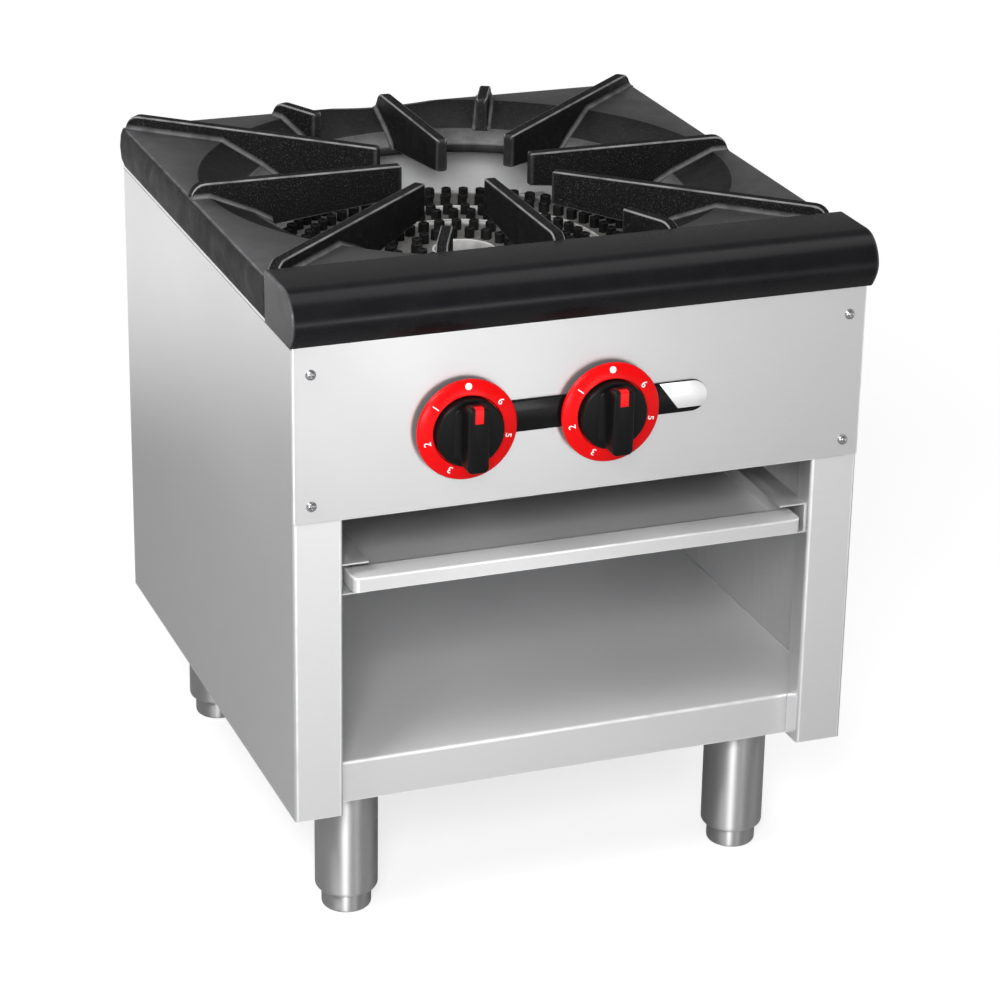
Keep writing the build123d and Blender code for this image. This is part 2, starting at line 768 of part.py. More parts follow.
with BuildPart() as pipe_coupling:
    with BuildSketch(facing_right(pipe_joint_x - coupling_length / 2)):
        with Locations((pipe_y, pipe_z)):
            Circle(coupling_radius)
            Circle(pipe_radius + seat_gap, mode=Mode.SUBTRACT)
    extrude(amount=coupling_length)
keep(pipe_coupling, "pipe_coupling")

with BuildPart() as inlet_pipe:
    with BuildLine():
        FilletPolyline(
            (pipe_joint_x, pipe_y, pipe_z),
            (pipe_right_x, pipe_y, pipe_z),
            (pipe_right_x, back + inlet_length, pipe_z),
            radius=pipe_bend,
        )
    with BuildSketch(facing_right(pipe_joint_x)):
        with Locations((pipe_y, pipe_z)):
            Circle(pipe_radius)
            Circle(pipe_bore, mode=Mode.SUBTRACT)
    sweep()
    with BuildSketch(facing_front(back + inlet_length)):
        with Locations((pipe_right_x, pipe_z)):
            Circle(pipe_radius + overcut)
            Circle(thread_radius, mode=Mode.SUBTRACT)
    extrude(amount=thread_length, mode=Mode.SUBTRACT)
keep(inlet_pipe, "inlet_pipe")

with BuildPart() as manifold_cap:
    with BuildSketch(facing_right(pipe_left_x - cap_length)):
        with Locations((pipe_y, pipe_z)):
            RegularPolygon(cap_radius, 6)
    extrude(amount=cap_length)
keep(manifold_cap, "manifold_cap")

# Saddle brackets between the heat shield and the pipe.
with BuildPart() as manifold_brackets:
    for x in (-bracket_x, bracket_x):
        block(x - bracket_width / 2, x + bracket_width / 2, pipe_y, baffle_y,
              pipe_z - bracket_thickness / 2, pipe_z + bracket_thickness / 2)
        rod((x - bracket_width, pipe_y, pipe_z), (1, 0, 0), pipe_radius, 2 * bracket_width,
            mode=Mode.SUBTRACT)
keep(manifold_brackets, "manifold_brackets")

# Valves stand on the manifold and face the mixers, with an orifice hood at the rear.
for side, x in knob_places.items():
    with BuildPart() as valve:
        rod((x, face + valve_start, knob_z), (0, 1, 0), valve_radius, valve_length)
        rod((x, pipe_y, pipe_z), (0, 0, 1), valve_neck, valve_drop)
        rod((x - valve_radius, pipe_y, pipe_z), (1, 0, 0), pipe_radius, 2 * valve_radius,
            mode=Mode.SUBTRACT)
        rod((x, face + valve_start, knob_z), (0, 1, 0), stem_radius + running_gap,
            valve_length / 2, mode=Mode.SUBTRACT)
    keep(valve, f"valve_{side}")

    with BuildPart() as orifice:
        rod((x, face + valve_start + valve_length, knob_z), (0, 1, 0), orifice_radius,
            orifice_length)
        chamfer(orifice.edges().group_by(Axis.Y)[-1], orifice_radius / 3)
    keep(orifice, f"orifice_{side}")

# The pilot: a small valve on the manifold, a tube through the shield and a head beside the ring.
pilot_y = hearth - sqrt((outer_ring_outer + pilot_gap + pilot_head_radius) ** 2 - pilot_x**2)
pilot_head_floor = burner_base + burner_body - pilot_head_length
with BuildPart() as pilot_valve:
    rod((pilot_x, pipe_y, pipe_z), (0, 1, 0), pilot_valve_radius, pipe_radius + pilot_valve_length)
    rod((pilot_x - pipe_radius, pipe_y, pipe_z), (1, 0, 0), pipe_radius, 2 * pipe_radius,
        mode=Mode.SUBTRACT)
keep(pilot_valve, "pilot_valve")

pilot_start = pipe_y + pipe_radius + pilot_valve_length
with BuildPart() as pilot_tube:
    with BuildLine():
        FilletPolyline(
            (pilot_x, pilot_start, pipe_z),
            (pilot_x, pilot_y, pipe_z),
            (pilot_x, pilot_y, pilot_head_floor),
            radius=pilot_bend,
        )
    with BuildSketch(facing_front(pilot_start)):
        with Locations((pilot_x, pipe_z)):
            Circle(pilot_tube_radius)
    sweep()
keep(pilot_tube, "pilot_tube")

with BuildPart() as pilot_burner:
    rod((pilot_x, pilot_y, pilot_head_floor), (0, 0, 1), pilot_head_radius, pilot_head_length)
    chamfer(pilot_burner.edges().group_by(Axis.Z)[-1], pilot_head_radius / 3)
keep(pilot_burner, "pilot_burner")

# ---------------------------------------------------------------- legs and feet
# A plate in each corner of the shelf's underside carries a tube, closed at the bottom by a
# threaded plug that the foot's stud screws into.
leg_places = {
    "front_left": (-half_width + leg_inset_side, face + leg_inset_front),
    "front_right": (half_width - leg_inset_side, face + leg_inset_front),
    "rear_left": (-half_width + leg_inset_side, back - leg_inset_rear),
    "rear_right": (half_width - leg_inset_side, back - leg_inset_rear),
}
plate_floor = base + sheet
leg_floor = foot_height + seat_gap
with BuildPart() as leg_plates:
    for name, (x, y) in leg_places.items():
        edge = inner_half - sheet
        x0, x1 = sorted((edge, edge - leg_plate_size))
        if x < 0:
            x0, x1 = -x1, -x0
        y0, y1 = shelf_front + sheet, shelf_front + sheet + leg_plate_size
        if name.startswith("rear"):
            y0, y1 = shelf_back - sheet - leg_plate_size, shelf_back - sheet
        block(x0, x1, y0, y1, plate_floor, plate_floor + leg_plate_thickness)
keep(leg_plates, "leg_plates")

for name, (x, y) in leg_places.items():
    with BuildPart() as leg:
        with BuildSketch(Plane(origin=(x, y, 0), x_dir=(1, 0, 0), z_dir=(0, -1, 0))):
            with BuildLine():
                Polyline(
                    (leg_radius - leg_wall, plate_floor),
                    (leg_radius, plate_floor),
                    (leg_radius, leg_floor + leg_shoulder_height),
                    (leg_radius - leg_shoulder, leg_floor),
                    (foot_stud_radius + running_gap, leg_floor),
                    (foot_stud_radius + running_gap, leg_floor + leg_plug),
                    (leg_radius - leg_wall, leg_floor + leg_plug),
                    close=True,
                )
            make_face()
        revolve(axis=Axis((x, y, 0), (0, 0, 1)))
    keep(leg, f"leg_{name}")

    with BuildPart() as foot:
        rod((x, y, 0), (0, 0, 1), foot_radius, foot_height)
        chamfer(foot.edges().group_by(Axis.Z)[0], foot_bevel)
        rod((x, y, foot_height), (0, 0, 1), foot_stud_radius, foot_stud_length)
    keep(foot, f"foot_{name}")
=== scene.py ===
import json
from math import atan2, cos, hypot, pi, radians, sin, sqrt, tan

import bmesh
import bpy
from mathutils import Matrix, Vector

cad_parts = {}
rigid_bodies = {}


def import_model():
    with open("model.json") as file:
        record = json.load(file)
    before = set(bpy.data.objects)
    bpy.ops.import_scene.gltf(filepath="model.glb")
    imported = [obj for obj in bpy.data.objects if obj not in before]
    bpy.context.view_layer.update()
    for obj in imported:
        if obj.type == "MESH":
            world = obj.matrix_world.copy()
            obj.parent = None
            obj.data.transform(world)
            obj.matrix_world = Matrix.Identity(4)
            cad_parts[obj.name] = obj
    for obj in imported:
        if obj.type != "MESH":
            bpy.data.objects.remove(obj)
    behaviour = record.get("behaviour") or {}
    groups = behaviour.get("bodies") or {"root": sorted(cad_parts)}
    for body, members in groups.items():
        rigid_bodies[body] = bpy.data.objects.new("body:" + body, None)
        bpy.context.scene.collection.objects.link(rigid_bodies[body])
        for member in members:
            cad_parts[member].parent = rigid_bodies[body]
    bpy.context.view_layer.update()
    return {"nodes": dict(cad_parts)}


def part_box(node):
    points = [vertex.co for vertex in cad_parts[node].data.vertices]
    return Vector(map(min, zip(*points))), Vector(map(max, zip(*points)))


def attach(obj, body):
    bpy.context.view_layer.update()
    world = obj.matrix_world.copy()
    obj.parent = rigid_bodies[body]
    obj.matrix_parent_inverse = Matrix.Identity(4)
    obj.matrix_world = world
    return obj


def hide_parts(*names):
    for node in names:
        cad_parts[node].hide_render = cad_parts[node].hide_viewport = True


# A new Blender file holds a cube, a lamp and a camera, which go before the range is loaded.
for thing in list(bpy.data.objects):
    bpy.data.objects.remove(thing)
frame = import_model()
nodes = frame["nodes"]

# ---------------------------------------------------------------- side panels
# Brushed stainless sheet folded on a brake: a flange at the rear, the outer wall, the front post
# and its return, with a flange along the top that carries the grate. The folds and cut edges carry
# a painted highlight.
sheet = 0.0012
sheet_bend = 0.0022
post_width = 0.0383
post_return = 0.020
side_rear_flange = 0.020
side_top_flange = 0.030
top_fold_drop = 0.0034
top_fold_skin = 0.0002
cut_edge = 0.0009


def feed(tree, node, inputs):
    """Fills a node's inputs: a socket is linked, and anything else becomes the value."""
    for key, value in inputs.items():
        if isinstance(value, bpy.types.NodeSocket):
            tree.links.new(value, node.inputs[key])
        else:
            node.inputs[key].default_value = value


def put(tree, kind, inputs=None, **settings):
    """A node in a tree, with its settings and its inputs."""
    node = tree.nodes.new(kind)
    for key, value in settings.items():
        setattr(node, key, value)
    feed(tree, node, inputs or {})
    return node


def combine(tree, operation, first, second):
    """Two sockets through a Math node."""
    return put(tree, "ShaderNodeMath", {0: first, 1: second}, operation=operation).outputs[0]


def object_place(tree):
    """The place on the object itself, which moves with it."""
    return put(tree, "ShaderNodeTexCoord").outputs["Object"]
def group_tree(name, kind, sockets):
    """A node group with its sockets, given as (name, direction, type, default)."""
    tree = bpy.data.node_groups.new(name, kind)
    for label, direction, socket_type, default in sockets:
        socket = tree.interface.new_socket(label, in_out=direction, socket_type=socket_type)
        if default is not None:
            socket.default_value = default
    return tree, put(tree, "NodeGroupInput"), put(tree, "NodeGroupOutput")

# Brush marks: fine lines along one direction, and faint broad smears left by wiping.
brush_marks, given, made = group_tree("brush_marks", "ShaderNodeTree", [
    ("Lines per metre", "INPUT", "NodeSocketVector", (700, 14, 700)),
    ("Tone", "OUTPUT", "NodeSocketFloat", None),
    ("Smear", "OUTPUT", "NodeSocketFloat", None),
])
place = object_place(brush_marks)
stretch = put(brush_marks, "ShaderNodeVectorMath", {0: place, 1: given.outputs["Lines per metre"]},
              operation="MULTIPLY")
lines = put(brush_marks, "ShaderNodeTexNoise",
            {"Vector": stretch.outputs[0], "Scale": 1.0, "Detail": 5.0, "Roughness": 0.7})
smears = put(brush_marks, "ShaderNodeTexNoise",
             {"Vector": place, "Scale": 7.0, "Detail": 2.0, "Distortion": 0.6})
feed(brush_marks, made, {"Tone": lines.outputs["Fac"], "Smear": smears.outputs["Fac"]})

# Painted edge highlights: the mark is 1 where a fold, a cut edge or a rim takes a full painted highlight, and
# the noise breaks it up.
painted_edge_highlights, given, made = group_tree("painted_edge_highlights", "ShaderNodeTree", [
    ("Break up", "INPUT", "NodeSocketFloat", 60.0),
    ("Mask", "OUTPUT", "NodeSocketFloat", None),
])
mark = put(painted_edge_highlights, "ShaderNodeAttribute", attribute_name="edge_highlight")
breaks = put(painted_edge_highlights, "ShaderNodeTexNoise",
             {"Vector": object_place(painted_edge_highlights), "Scale": given.outputs["Break up"], "Detail": 3.0})
patchy = put(painted_edge_highlights, "ShaderNodeMapRange",
             {"Value": breaks.outputs["Fac"], "From Min": 0.3, "From Max": 0.6, "To Min": 0.45})
mask = combine(painted_edge_highlights, "MULTIPLY", patchy.outputs["Result"], mark.outputs["Fac"])
feed(painted_edge_highlights, made, {"Mask": mask})


def new_material(name, metallic, roughness, specular=0.5):
    """A material with its shader's plain sockets set."""
    mat = bpy.data.materials.new(name)
    mat.use_nodes = True
    shader = mat.node_tree.nodes["Principled BSDF"]
    feed(mat.node_tree, shader,
         {"Metallic": metallic, "Roughness": roughness, "Specular IOR Level": specular})
    return mat, mat.node_tree, shader


def grey(level, blue=0.0):
    """A grey, with a little more blue where that is given."""
    return (level, level, level + blue)


def blend_colours(tree, factor, low, high):
    """A mix of two colours by a factor socket; each may be a colour or a socket."""
    low, high = [(*tone, 1) if isinstance(tone, tuple) else tone for tone in (low, high)]
    return put(tree, "ShaderNodeMix", {0: factor, 6: low, 7: high}, data_type="RGBA").outputs[2]


def spread(tree, factor, low, high, start=0.0, end=1.0):
    """A factor socket stretched from start..end to low..high."""
    return put(tree, "ShaderNodeMapRange", {"Value": factor, "From Min": start, "From Max": end,
                                            "To Min": low, "To Max": high}).outputs["Result"]


def rub(tree, tone, edge):
    """A tone that gives way to another, lighter colour where an edge carries a painted highlight."""
    edge_highlight = put(tree, "ShaderNodeGroup", node_tree=painted_edge_highlights)
    return blend_colours(tree, edge_highlight.outputs["Mask"], tone, edge)


def relief(tree, height, distance):
    """A normal bumped by a height socket."""
    return put(tree, "ShaderNodeBump", {"Height": height, "Distance": distance,
                                        "Strength": 1.0}).outputs["Normal"]


def brushed_steel(name, lines_per_metre, dull, bright, edge, roughness, metallic=0.85, drawn_out=0.7,
                  blue=0.005):
    """Brushed stainless: tone, smears, painted edge highlights and a gloss drawn out across the lines."""
    mat, tree, shader = new_material(name, metallic, roughness)
    marks = put(tree, "ShaderNodeGroup", {"Lines per metre": lines_per_metre}, node_tree=brush_marks).outputs
    factor = spread(tree, marks["Tone"], 0, 1, 0.3, 0.7)
    tone = blend_colours(tree, factor, grey(dull, blue), grey(bright, blue))
    feed(tree, shader, {
        "Anisotropic": drawn_out,
        "Anisotropic Rotation": 0.25,
        "Base Color": rub(tree, tone, grey(edge)),
        "Roughness": spread(tree, marks["Smear"], roughness - 0.02, roughness + 0.03, 0.3, 0.7),
        "Normal": relief(tree, marks["Tone"], 0.000008),
    })
    return mat


side_steel = brushed_steel("steel_brushed_side", (18, 18, 1400), 0.66, 0.675, 0.95, 0.30, 0.8, 0.3)
post_steel = brushed_steel("steel_brushed_post", (18, 18, 1400), 0.68, 0.695, 0.95, 0.40, 0.7)
# The inside of the sheets is left as it comes from the mill, duller than the brushed outside.
mill_steel = brushed_steel("steel_mill_inside", (500, 500, 30), 0.50, 0.55, 0.92, 0.55, 0.25)

# How strongly the painted highlight shows at each step round a fold.
fold_highlight = (0.9, 0.3, 0.0, 0.0, 0.1, 0.8, 1.0)
top_fold_highlight = (0.6, 0.9, 1.0, 1.0, 1.0, 0.9, 0.6)


def bent_outline(path, thickness, radius, highlight_steps=fold_highlight):
    """Outer and inner points along a folded strip, each with the strength of its painted highlight.

    The path is the outer face. The sheet lies to its left, and each corner turns left.
    """
    rows = []
    for i, corner in enumerate(path):
        p = Vector(corner)
        before = (p - Vector(path[i - 1])).normalized() if i else None
        after = (Vector(path[i + 1]) - p).normalized() if i + 1 < len(path) else None
        if before is None or after is None:
            along = after or before
            left = Vector((-along.y, along.x)) * thickness
            ends = [(p, 1.0), (p + along * cut_edge, 0.0)]
            if after is None:
                ends = [(p - along * cut_edge, 0.0), (p, 1.0)]
            rows += [(q, q + left, edge_highlight) for q, edge_highlight in ends]
            continue
        angle = before.angle(after)
        setback = radius * tan(angle / 2)
        inward = Vector((-before.y, before.x))
        centre = p - before * setback + inward * radius
        start = p - before * (setback + cut_edge)
        rows.append((start, start + inward * thickness, 0.0))
        for k, edge_highlight in enumerate(highlight_steps):
            a = angle * k / (len(highlight_steps) - 1)
            out = Vector((-inward.x * cos(a) + inward.y * sin(a), -inward.x * sin(a) - inward.y * cos(a)))
            rows.append((centre + out * radius, centre + out * (radius - thickness), edge_highlight))
        end = p + after * (setback + cut_edge)
        left = Vector((-after.y, after.x))
        rows.append((end, end + left * thickness, 0.0))
    return rows


def new_bmesh():
    """An empty mesh with the mark for the painted edge highlight, and a function that adds a point to it."""
    bm = bmesh.new()
    layer = bm.verts.layers.float.new("edge_highlight")

    def point(co, edge_highlight=0.0):
        vert = bm.verts.new(co)
        vert[layer] = edge_highlight
        return vert

    return bm, point


def add_strip(bm, point, rows, low, high, lay, inside=0):
    """Sweeps a folded strip from low to high; lay turns (across, up, along) into a point."""
    # The cut edges at both ends of the sweep take the full painted highlight.
    stations = [(low, 1.0), (low + cut_edge, 0.0), (high - cut_edge, 0.0), (high, 1.0)]
    outer = [[point(lay(o.x, o.y, w), max(r, e)) for o, _, r in rows] for w, e in stations]
    inner = [[point(lay(i.x, i.y, w), max(r, e)) for _, i, r in rows] for w, e in stations]
    new = []
    for j in range(len(stations) - 1):
        for i in range(len(rows) - 1):
            new.append(bm.faces.new((outer[j][i], outer[j][i + 1], outer[j + 1][i + 1], outer[j + 1][i])))
            new.append(bm.faces.new((inner[j][i], inner[j + 1][i], inner[j + 1][i + 1], inner[j][i + 1])))
            new[-1].material_index = inside
        for i in (0, -1):
            new.append(bm.faces.new((outer[j][i], outer[j + 1][i], inner[j + 1][i], inner[j][i])))
    for j in (0, -1):
        for i in range(len(rows) - 1):
            new.append(bm.faces.new((outer[j][i], inner[j][i], inner[j][i + 1], outer[j][i + 1])))
    bmesh.ops.recalc_face_normals(bm, faces=new)

def upright(x, y, z):
    """Lays a level outline at a height."""
    return (x, y, z)


def front_facing(x, z, y):
    """Lays an upright outline that faces the front at a depth."""
    return (x, y, z)


def mark_faces(bm, index, chosen):
    """Gives the faces chosen by their normal and middle another of the piece's materials."""
    bm.normal_update()
    for one in bm.faces:
        if chosen(one.normal, one.calc_center_median()):
            one.material_index = index


def to_mesh(name, bm):
    """The finished mesh of one that was under construction."""
    mesh = bpy.data.meshes.new(name)
    bm.to_mesh(mesh)
    bm.free()
    return mesh


def place_object(name, data):
    """An object in the scene, at the origin."""
    obj = bpy.data.objects.new(name, data)
    bpy.context.scene.collection.objects.link(obj)
    return obj


def finish_piece(name, bm, materials, body, replaces=(), angle=30):
    """Turns a mesh under construction into a piece that rides on its body."""
    mesh = to_mesh(name, bm)
    mesh.shade_smooth()
    mesh.set_sharp_from_angle(angle=radians(angle))
    for mat in materials if isinstance(materials, list) else [materials]:
        mesh.materials.append(mat)
    obj = place_object(name, mesh)
    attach(obj, body)
    if replaces:
        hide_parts(*replaces)
side_low, side_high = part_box("side_panel_left")
half_width = -side_low.x
face, back = side_low.y, side_high.y
base, top = side_low.z, side_high.z
for side, name in ((-1, "left"), (1, "right")):
    path = [(-half_width + side_rear_flange, back), (-half_width, back), (-half_width, face),
            (-half_width + post_width, face), (-half_width + post_width, face + post_return)]
    if side > 0:
        path = [(-x, y) for x, y in reversed(path)]
    bm, point = new_bmesh()
    add_strip(bm, point, bent_outline(path, sheet, sheet_bend), base, top, upright, inside=1)
    outer_x, inner_x = side * (half_width + top_fold_skin), side * (half_width - side_top_flange)
    flange = [(inner_x, top), (outer_x, top), (outer_x, top - top_fold_drop)]
    if side > 0:
        flange.reverse()
    # The fold along the top carries a painted highlight all the way round.
    add_strip(bm, point, bent_outline(flange, sheet, sheet_bend, top_fold_highlight),
              face + sheet_bend, back - sheet_bend, front_facing)
    mark_faces(bm, 2, lambda normal, middle: normal.y < -0.9 and middle.y < face + 0.0001)
    finish_piece(f"{name}_side", bm, [side_steel, mill_steel, post_steel], "cabinet",
                 [f"side_panel_{name}"])

# ---------------------------------------------------------------- back panel and inner sheets
# Plain galvanised sheets and bars that stay out of sight: the heat shield, the plates over the legs,
# the burner's angle bars and straps, and the pipe's brackets. The back panel, whose inside shows
# through the grate's opening, is pale unmetallic steel that carries painted light.
zinc_mottle, given, made = group_tree("zinc_mottle", "ShaderNodeTree", [
    ("Crystals per metre", "INPUT", "NodeSocketFloat", 110.0),
    ("Tone", "OUTPUT", "NodeSocketFloat", None),
])
crystals = put(zinc_mottle, "ShaderNodeTexVoronoi",
               {"Vector": object_place(zinc_mottle), "Scale": given.outputs["Crystals per metre"]})
pick = put(zinc_mottle, "ShaderNodeSeparateColor", {0: crystals.outputs["Color"]})
feed(zinc_mottle, made, {"Tone": pick.outputs[0]})
zinc, tree, shader = new_material("zinc_plain", 0.75, 0.45)
mottle = put(tree, "ShaderNodeGroup", node_tree=zinc_mottle).outputs["Tone"]
feed(tree, shader, {"Base Color": blend_colours(tree, mottle, (0.40, 0.41, 0.42), (0.47, 0.48, 0.49)),
                    "Roughness": spread(tree, mottle, 0.39, 0.51)})
# The back panel's steel is made pale and unmetallic so that its inside reads bright through the grate's
# opening: painted light.
lit_back_steel = brushed_steel("steel_brushed_back_painted_light", (18, 18, 1000), 0.88, 0.92, 0.95, 0.50, 0.0)


def dress(material, *names):
    """Gives a CAD node that stays in view its own material."""
    for name in names:
        mesh = nodes[name].data
        mesh.materials.clear()
        mesh.materials.append(material)


dress(lit_back_steel, "back_panel")
dress(zinc, "front_baffle", "leg_plates", "burner_bars", "burner_straps", "manifold_brackets")

# ---------------------------------------------------------------- bottom shelf
# A pan of brushed stainless turned upside down: a flat top folded down on all four sides, with
# a hem along the bottom, spot-welded between the side panels.
shelf_hem = 0.015
shelf_round = 0.0016
shelf_line = 0.001
# The shelf's top takes the same brushed steel made paler and less metallic, so that it reads bright inside
# the cabinet: painted light.
lit_inner_steel = brushed_steel("steel_brushed_level_painted_light", (14, 1000, 1000), 0.74, 0.755, 0.97, 0.36, 0.3)


def rounded_rect(x0, x1, y0, y1, radius=0.0, steps=6, corners=(1, 1, 1, 1)):
    """Points of a rectangle, counter-clockwise, with the corners from lower left rounded."""
    points = []
    spots = ((x0, y0, 180), (x1, y0, 270), (x1, y1, 0), (x0, y1, 90))
    for (x, y, start), rounded in zip(spots, corners):
        if not rounded or radius <= 0:
            points.append(Vector((x, y)))
            continue
        cx = x + radius if x == x0 else x - radius
        cy = y + radius if y == y0 else y - radius
        for k in range(steps + 1):
            a = radians(start + 90 * k / steps)
            points.append(Vector((cx + radius * cos(a), cy + radius * sin(a))))
    return points


def join_rings(bm, rings):
    """Faces between each ring of points and the next."""
    new = []
    for low, high in zip(rings, rings[1:]):
        for i in range(len(low)):
            j = (i + 1) % len(low)
            new.append(bm.faces.new((low[i], low[j], high[j], high[i])))
    return new


def close_rings(bm, rings):
    """Skins a stack of rings of points and closes both ends."""
    new = [bm.faces.new(rings[0]), bm.faces.new(rings[-1])] + join_rings(bm, rings)
    bmesh.ops.recalc_face_normals(bm, faces=new)
    return new


def add_layers(bm, point, layers, lay):
    """Skins a stack of like outlines, given as (outline, level, painted edge highlight), and closes both
    ends.
    """
    close_rings(bm, [[point(lay(p.x, p.y, level), edge_highlight) for p in outline]
                     for outline, level, edge_highlight in layers])
low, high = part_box("bottom_shelf")


def shelf_loop(inset):
    return rounded_rect(low.x + inset, high.x - inset, low.y + inset, high.y - inset)


bm, point = new_bmesh()
# The rounded top edge and the hem carry painted highlights.
add_layers(bm, point, [
    (shelf_loop(shelf_round + shelf_line), high.z, 0.0),
    (shelf_loop(shelf_round), high.z, 0.6),
    (shelf_loop(shelf_round * 0.3), high.z - shelf_round * 0.3, 1.0),
    (shelf_loop(0), high.z - shelf_round, 0.6),
    (shelf_loop(0), high.z - shelf_round - shelf_line, 0.0),
    (shelf_loop(0), low.z + shelf_line, 0.0),
    (shelf_loop(0), low.z, 1.0),
    (shelf_loop(shelf_hem), low.z, 0.5),
    (shelf_loop(shelf_hem), low.z + sheet, 0.5),
    (shelf_loop(sheet), low.z + sheet, 0.0),
    (shelf_loop(sheet), high.z - sheet, 0.0),
], upright)
mark_faces(bm, 1, lambda normal, middle: normal.y < -0.9 and middle.y < low.y + 0.0005)
finish_piece("bottom_pan", bm, [lit_inner_steel, post_steel], "cabinet", ["bottom_shelf"])

# ---------------------------------------------------------------- legs and feet
# Satin steel tubes drawn in a little at the bottom, and feet that screw in and out of them.
leg_wall = 0.0016
leg_round = 0.0045
foot_round = 0.0035
stud_radius = 0.008
tube_floor = 0.014
seat_gap = 0.0003


def satin_metal(name, dull, bright, roughness, per_metre=(160, 160, 60), drawn_out=0.0):
    """Turned or drawn metal with faint lines round it."""
    mat, tree, shader = new_material(name, 1.0, roughness)
    marks = put(tree, "ShaderNodeGroup", {"Lines per metre": per_metre}, node_tree=brush_marks).outputs
    feed(tree, shader, {
        "Anisotropic": drawn_out,
        "Anisotropic Rotation": 0.25,
        "Base Color": blend_colours(tree, marks["Tone"], dull, bright),
        "Roughness": spread(tree, marks["Smear"], roughness - 0.06, roughness + 0.08, 0.3, 0.7),
        "Normal": relief(tree, marks["Tone"], 0.00002),
    })
    return mat


drawn_lines = (30, 30, 900)
leg_satin = satin_metal("steel_satin_leg", grey(0.56, 0.005), grey(0.60, 0.005), 0.50, drawn_lines, 0.9)
foot_satin = satin_metal("steel_satin_foot", grey(0.54, 0.005), grey(0.60, 0.005), 0.48, drawn_lines, 0.9)


def quarter(centre, radius, start, end, steps=5):
    """Points of an arc in a section, between two angles in degrees."""
    return [(centre[0] + radius * cos(radians(start + (end - start) * k / steps)),
             centre[1] + radius * sin(radians(start + (end - start) * k / steps)))
            for k in range(steps + 1)]

def add_lathe(bm, point, section, centre, segments=96, axis="Z", closed=True):
    """Turns a section of (radius, height) about an upright or a front-facing axis.

    A third value in a point of the section gives the strength of its painted edge highlight.
    """
    rings = []
    for radius, height, *edge_highlight_weight in section:
        ring = []
        for k in range(segments if radius > 1e-7 else 1):
            a = 2 * pi * k / segments
            if axis == "Z":
                co = (centre[0] + radius * cos(a), centre[1] + radius * sin(a), centre[2] + height)
            else:
                co = (centre[0] + radius * cos(a), centre[1] - height, centre[2] + radius * sin(a))
            ring.append(point(co, *edge_highlight_weight))
        rings.append(ring)
    new = []
    pairs = list(zip(rings, rings[1:])) + ([(rings[-1], rings[0])] if closed else [])
    for low, high in pairs:
        for k in range(segments):
            j = (k + 1) % segments
            corners = []
            for vert in (low[k % len(low)], low[j % len(low)], high[j % len(high)], high[k % len(high)]):
                if vert not in corners:
                    corners.append(vert)
            if len(corners) > 2:
                new.append(bm.faces.new(corners))
    bmesh.ops.recalc_face_normals(bm, faces=new)


for place_name in ("front_left", "front_right", "rear_left", "rear_right"):
    low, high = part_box(f"leg_{place_name}")
    radius = (high.x - low.x) / 2
    centre = ((low.x + high.x) / 2, (low.y + high.y) / 2, 0)
    outside = [(radius, high.z)]
    outside += quarter((radius - leg_round, low.z + leg_round), leg_round, 0, -90)
    plug = stud_radius + 0.00005
    section = outside + [(plug, low.z), (plug, low.z + tube_floor), (radius - leg_wall, low.z + tube_floor),
                         (radius - leg_wall, high.z)]
    bm, point = new_bmesh()
    add_lathe(bm, point, section, centre)
    finish_piece(f"{place_name}_tube", bm, leg_satin, "cabinet", [f"leg_{place_name}"])

    foot_low, foot_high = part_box(f"foot_{place_name}")
    radius = (foot_high.x - foot_low.x) / 2
    seat = low.z - seat_gap
    section = [(0, foot_high.z), (stud_radius - 0.001, foot_high.z), (stud_radius, foot_high.z - 0.001),
               (stud_radius, seat)]
    section += [(radius - 0.001, seat), (radius, seat - 0.001)]
    section += quarter((radius - foot_round, foot_round), foot_round, 0, -90)
    section += [(0, 0)]
    bm, point = new_bmesh()
    add_lathe(bm, point, section, centre, closed=False)
    finish_piece(f"{place_name}_screw_foot", bm, foot_satin, f"{place_name}_foot",
                 [f"foot_{place_name}"])

# ---------------------------------------------------------------- runners and drip tray
# Folded channels carry the tray, a shallow stainless pan with a folded pull along its front,
# rounded at its two corners and open underneath for the fingers.
tray_sheet = 0.001
tray_corner = 0.004
pull_depth = 0.024
pull_height = 0.0113
pull_corner = 0.006
pull_overhang = 0.002
pull_round = 0.0009
pull_line = 0.0007
runner_steel = brushed_steel("steel_brushed_runner", (900, 14, 900), 0.58, 0.62, 0.95, 0.40, 0.6)
dress(runner_steel, "tray_runner_left", "tray_runner_right")

low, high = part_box("drip_tray")
pan_front = low.y + pull_depth - tray_sheet


def pan_loop(inset):
    return rounded_rect(low.x + pull_overhang + inset, high.x - pull_overhang - inset,
                        pan_front + inset, high.y - inset, tray_corner - inset)


def pull_loop(inset, shrink=0.0):
    return rounded_rect(low.x + inset, high.x - inset, low.y + inset, low.y + pull_depth - shrink,
                        pull_corner - inset, corners=(1, 1, 0, 0))


bm, point = new_bmesh()
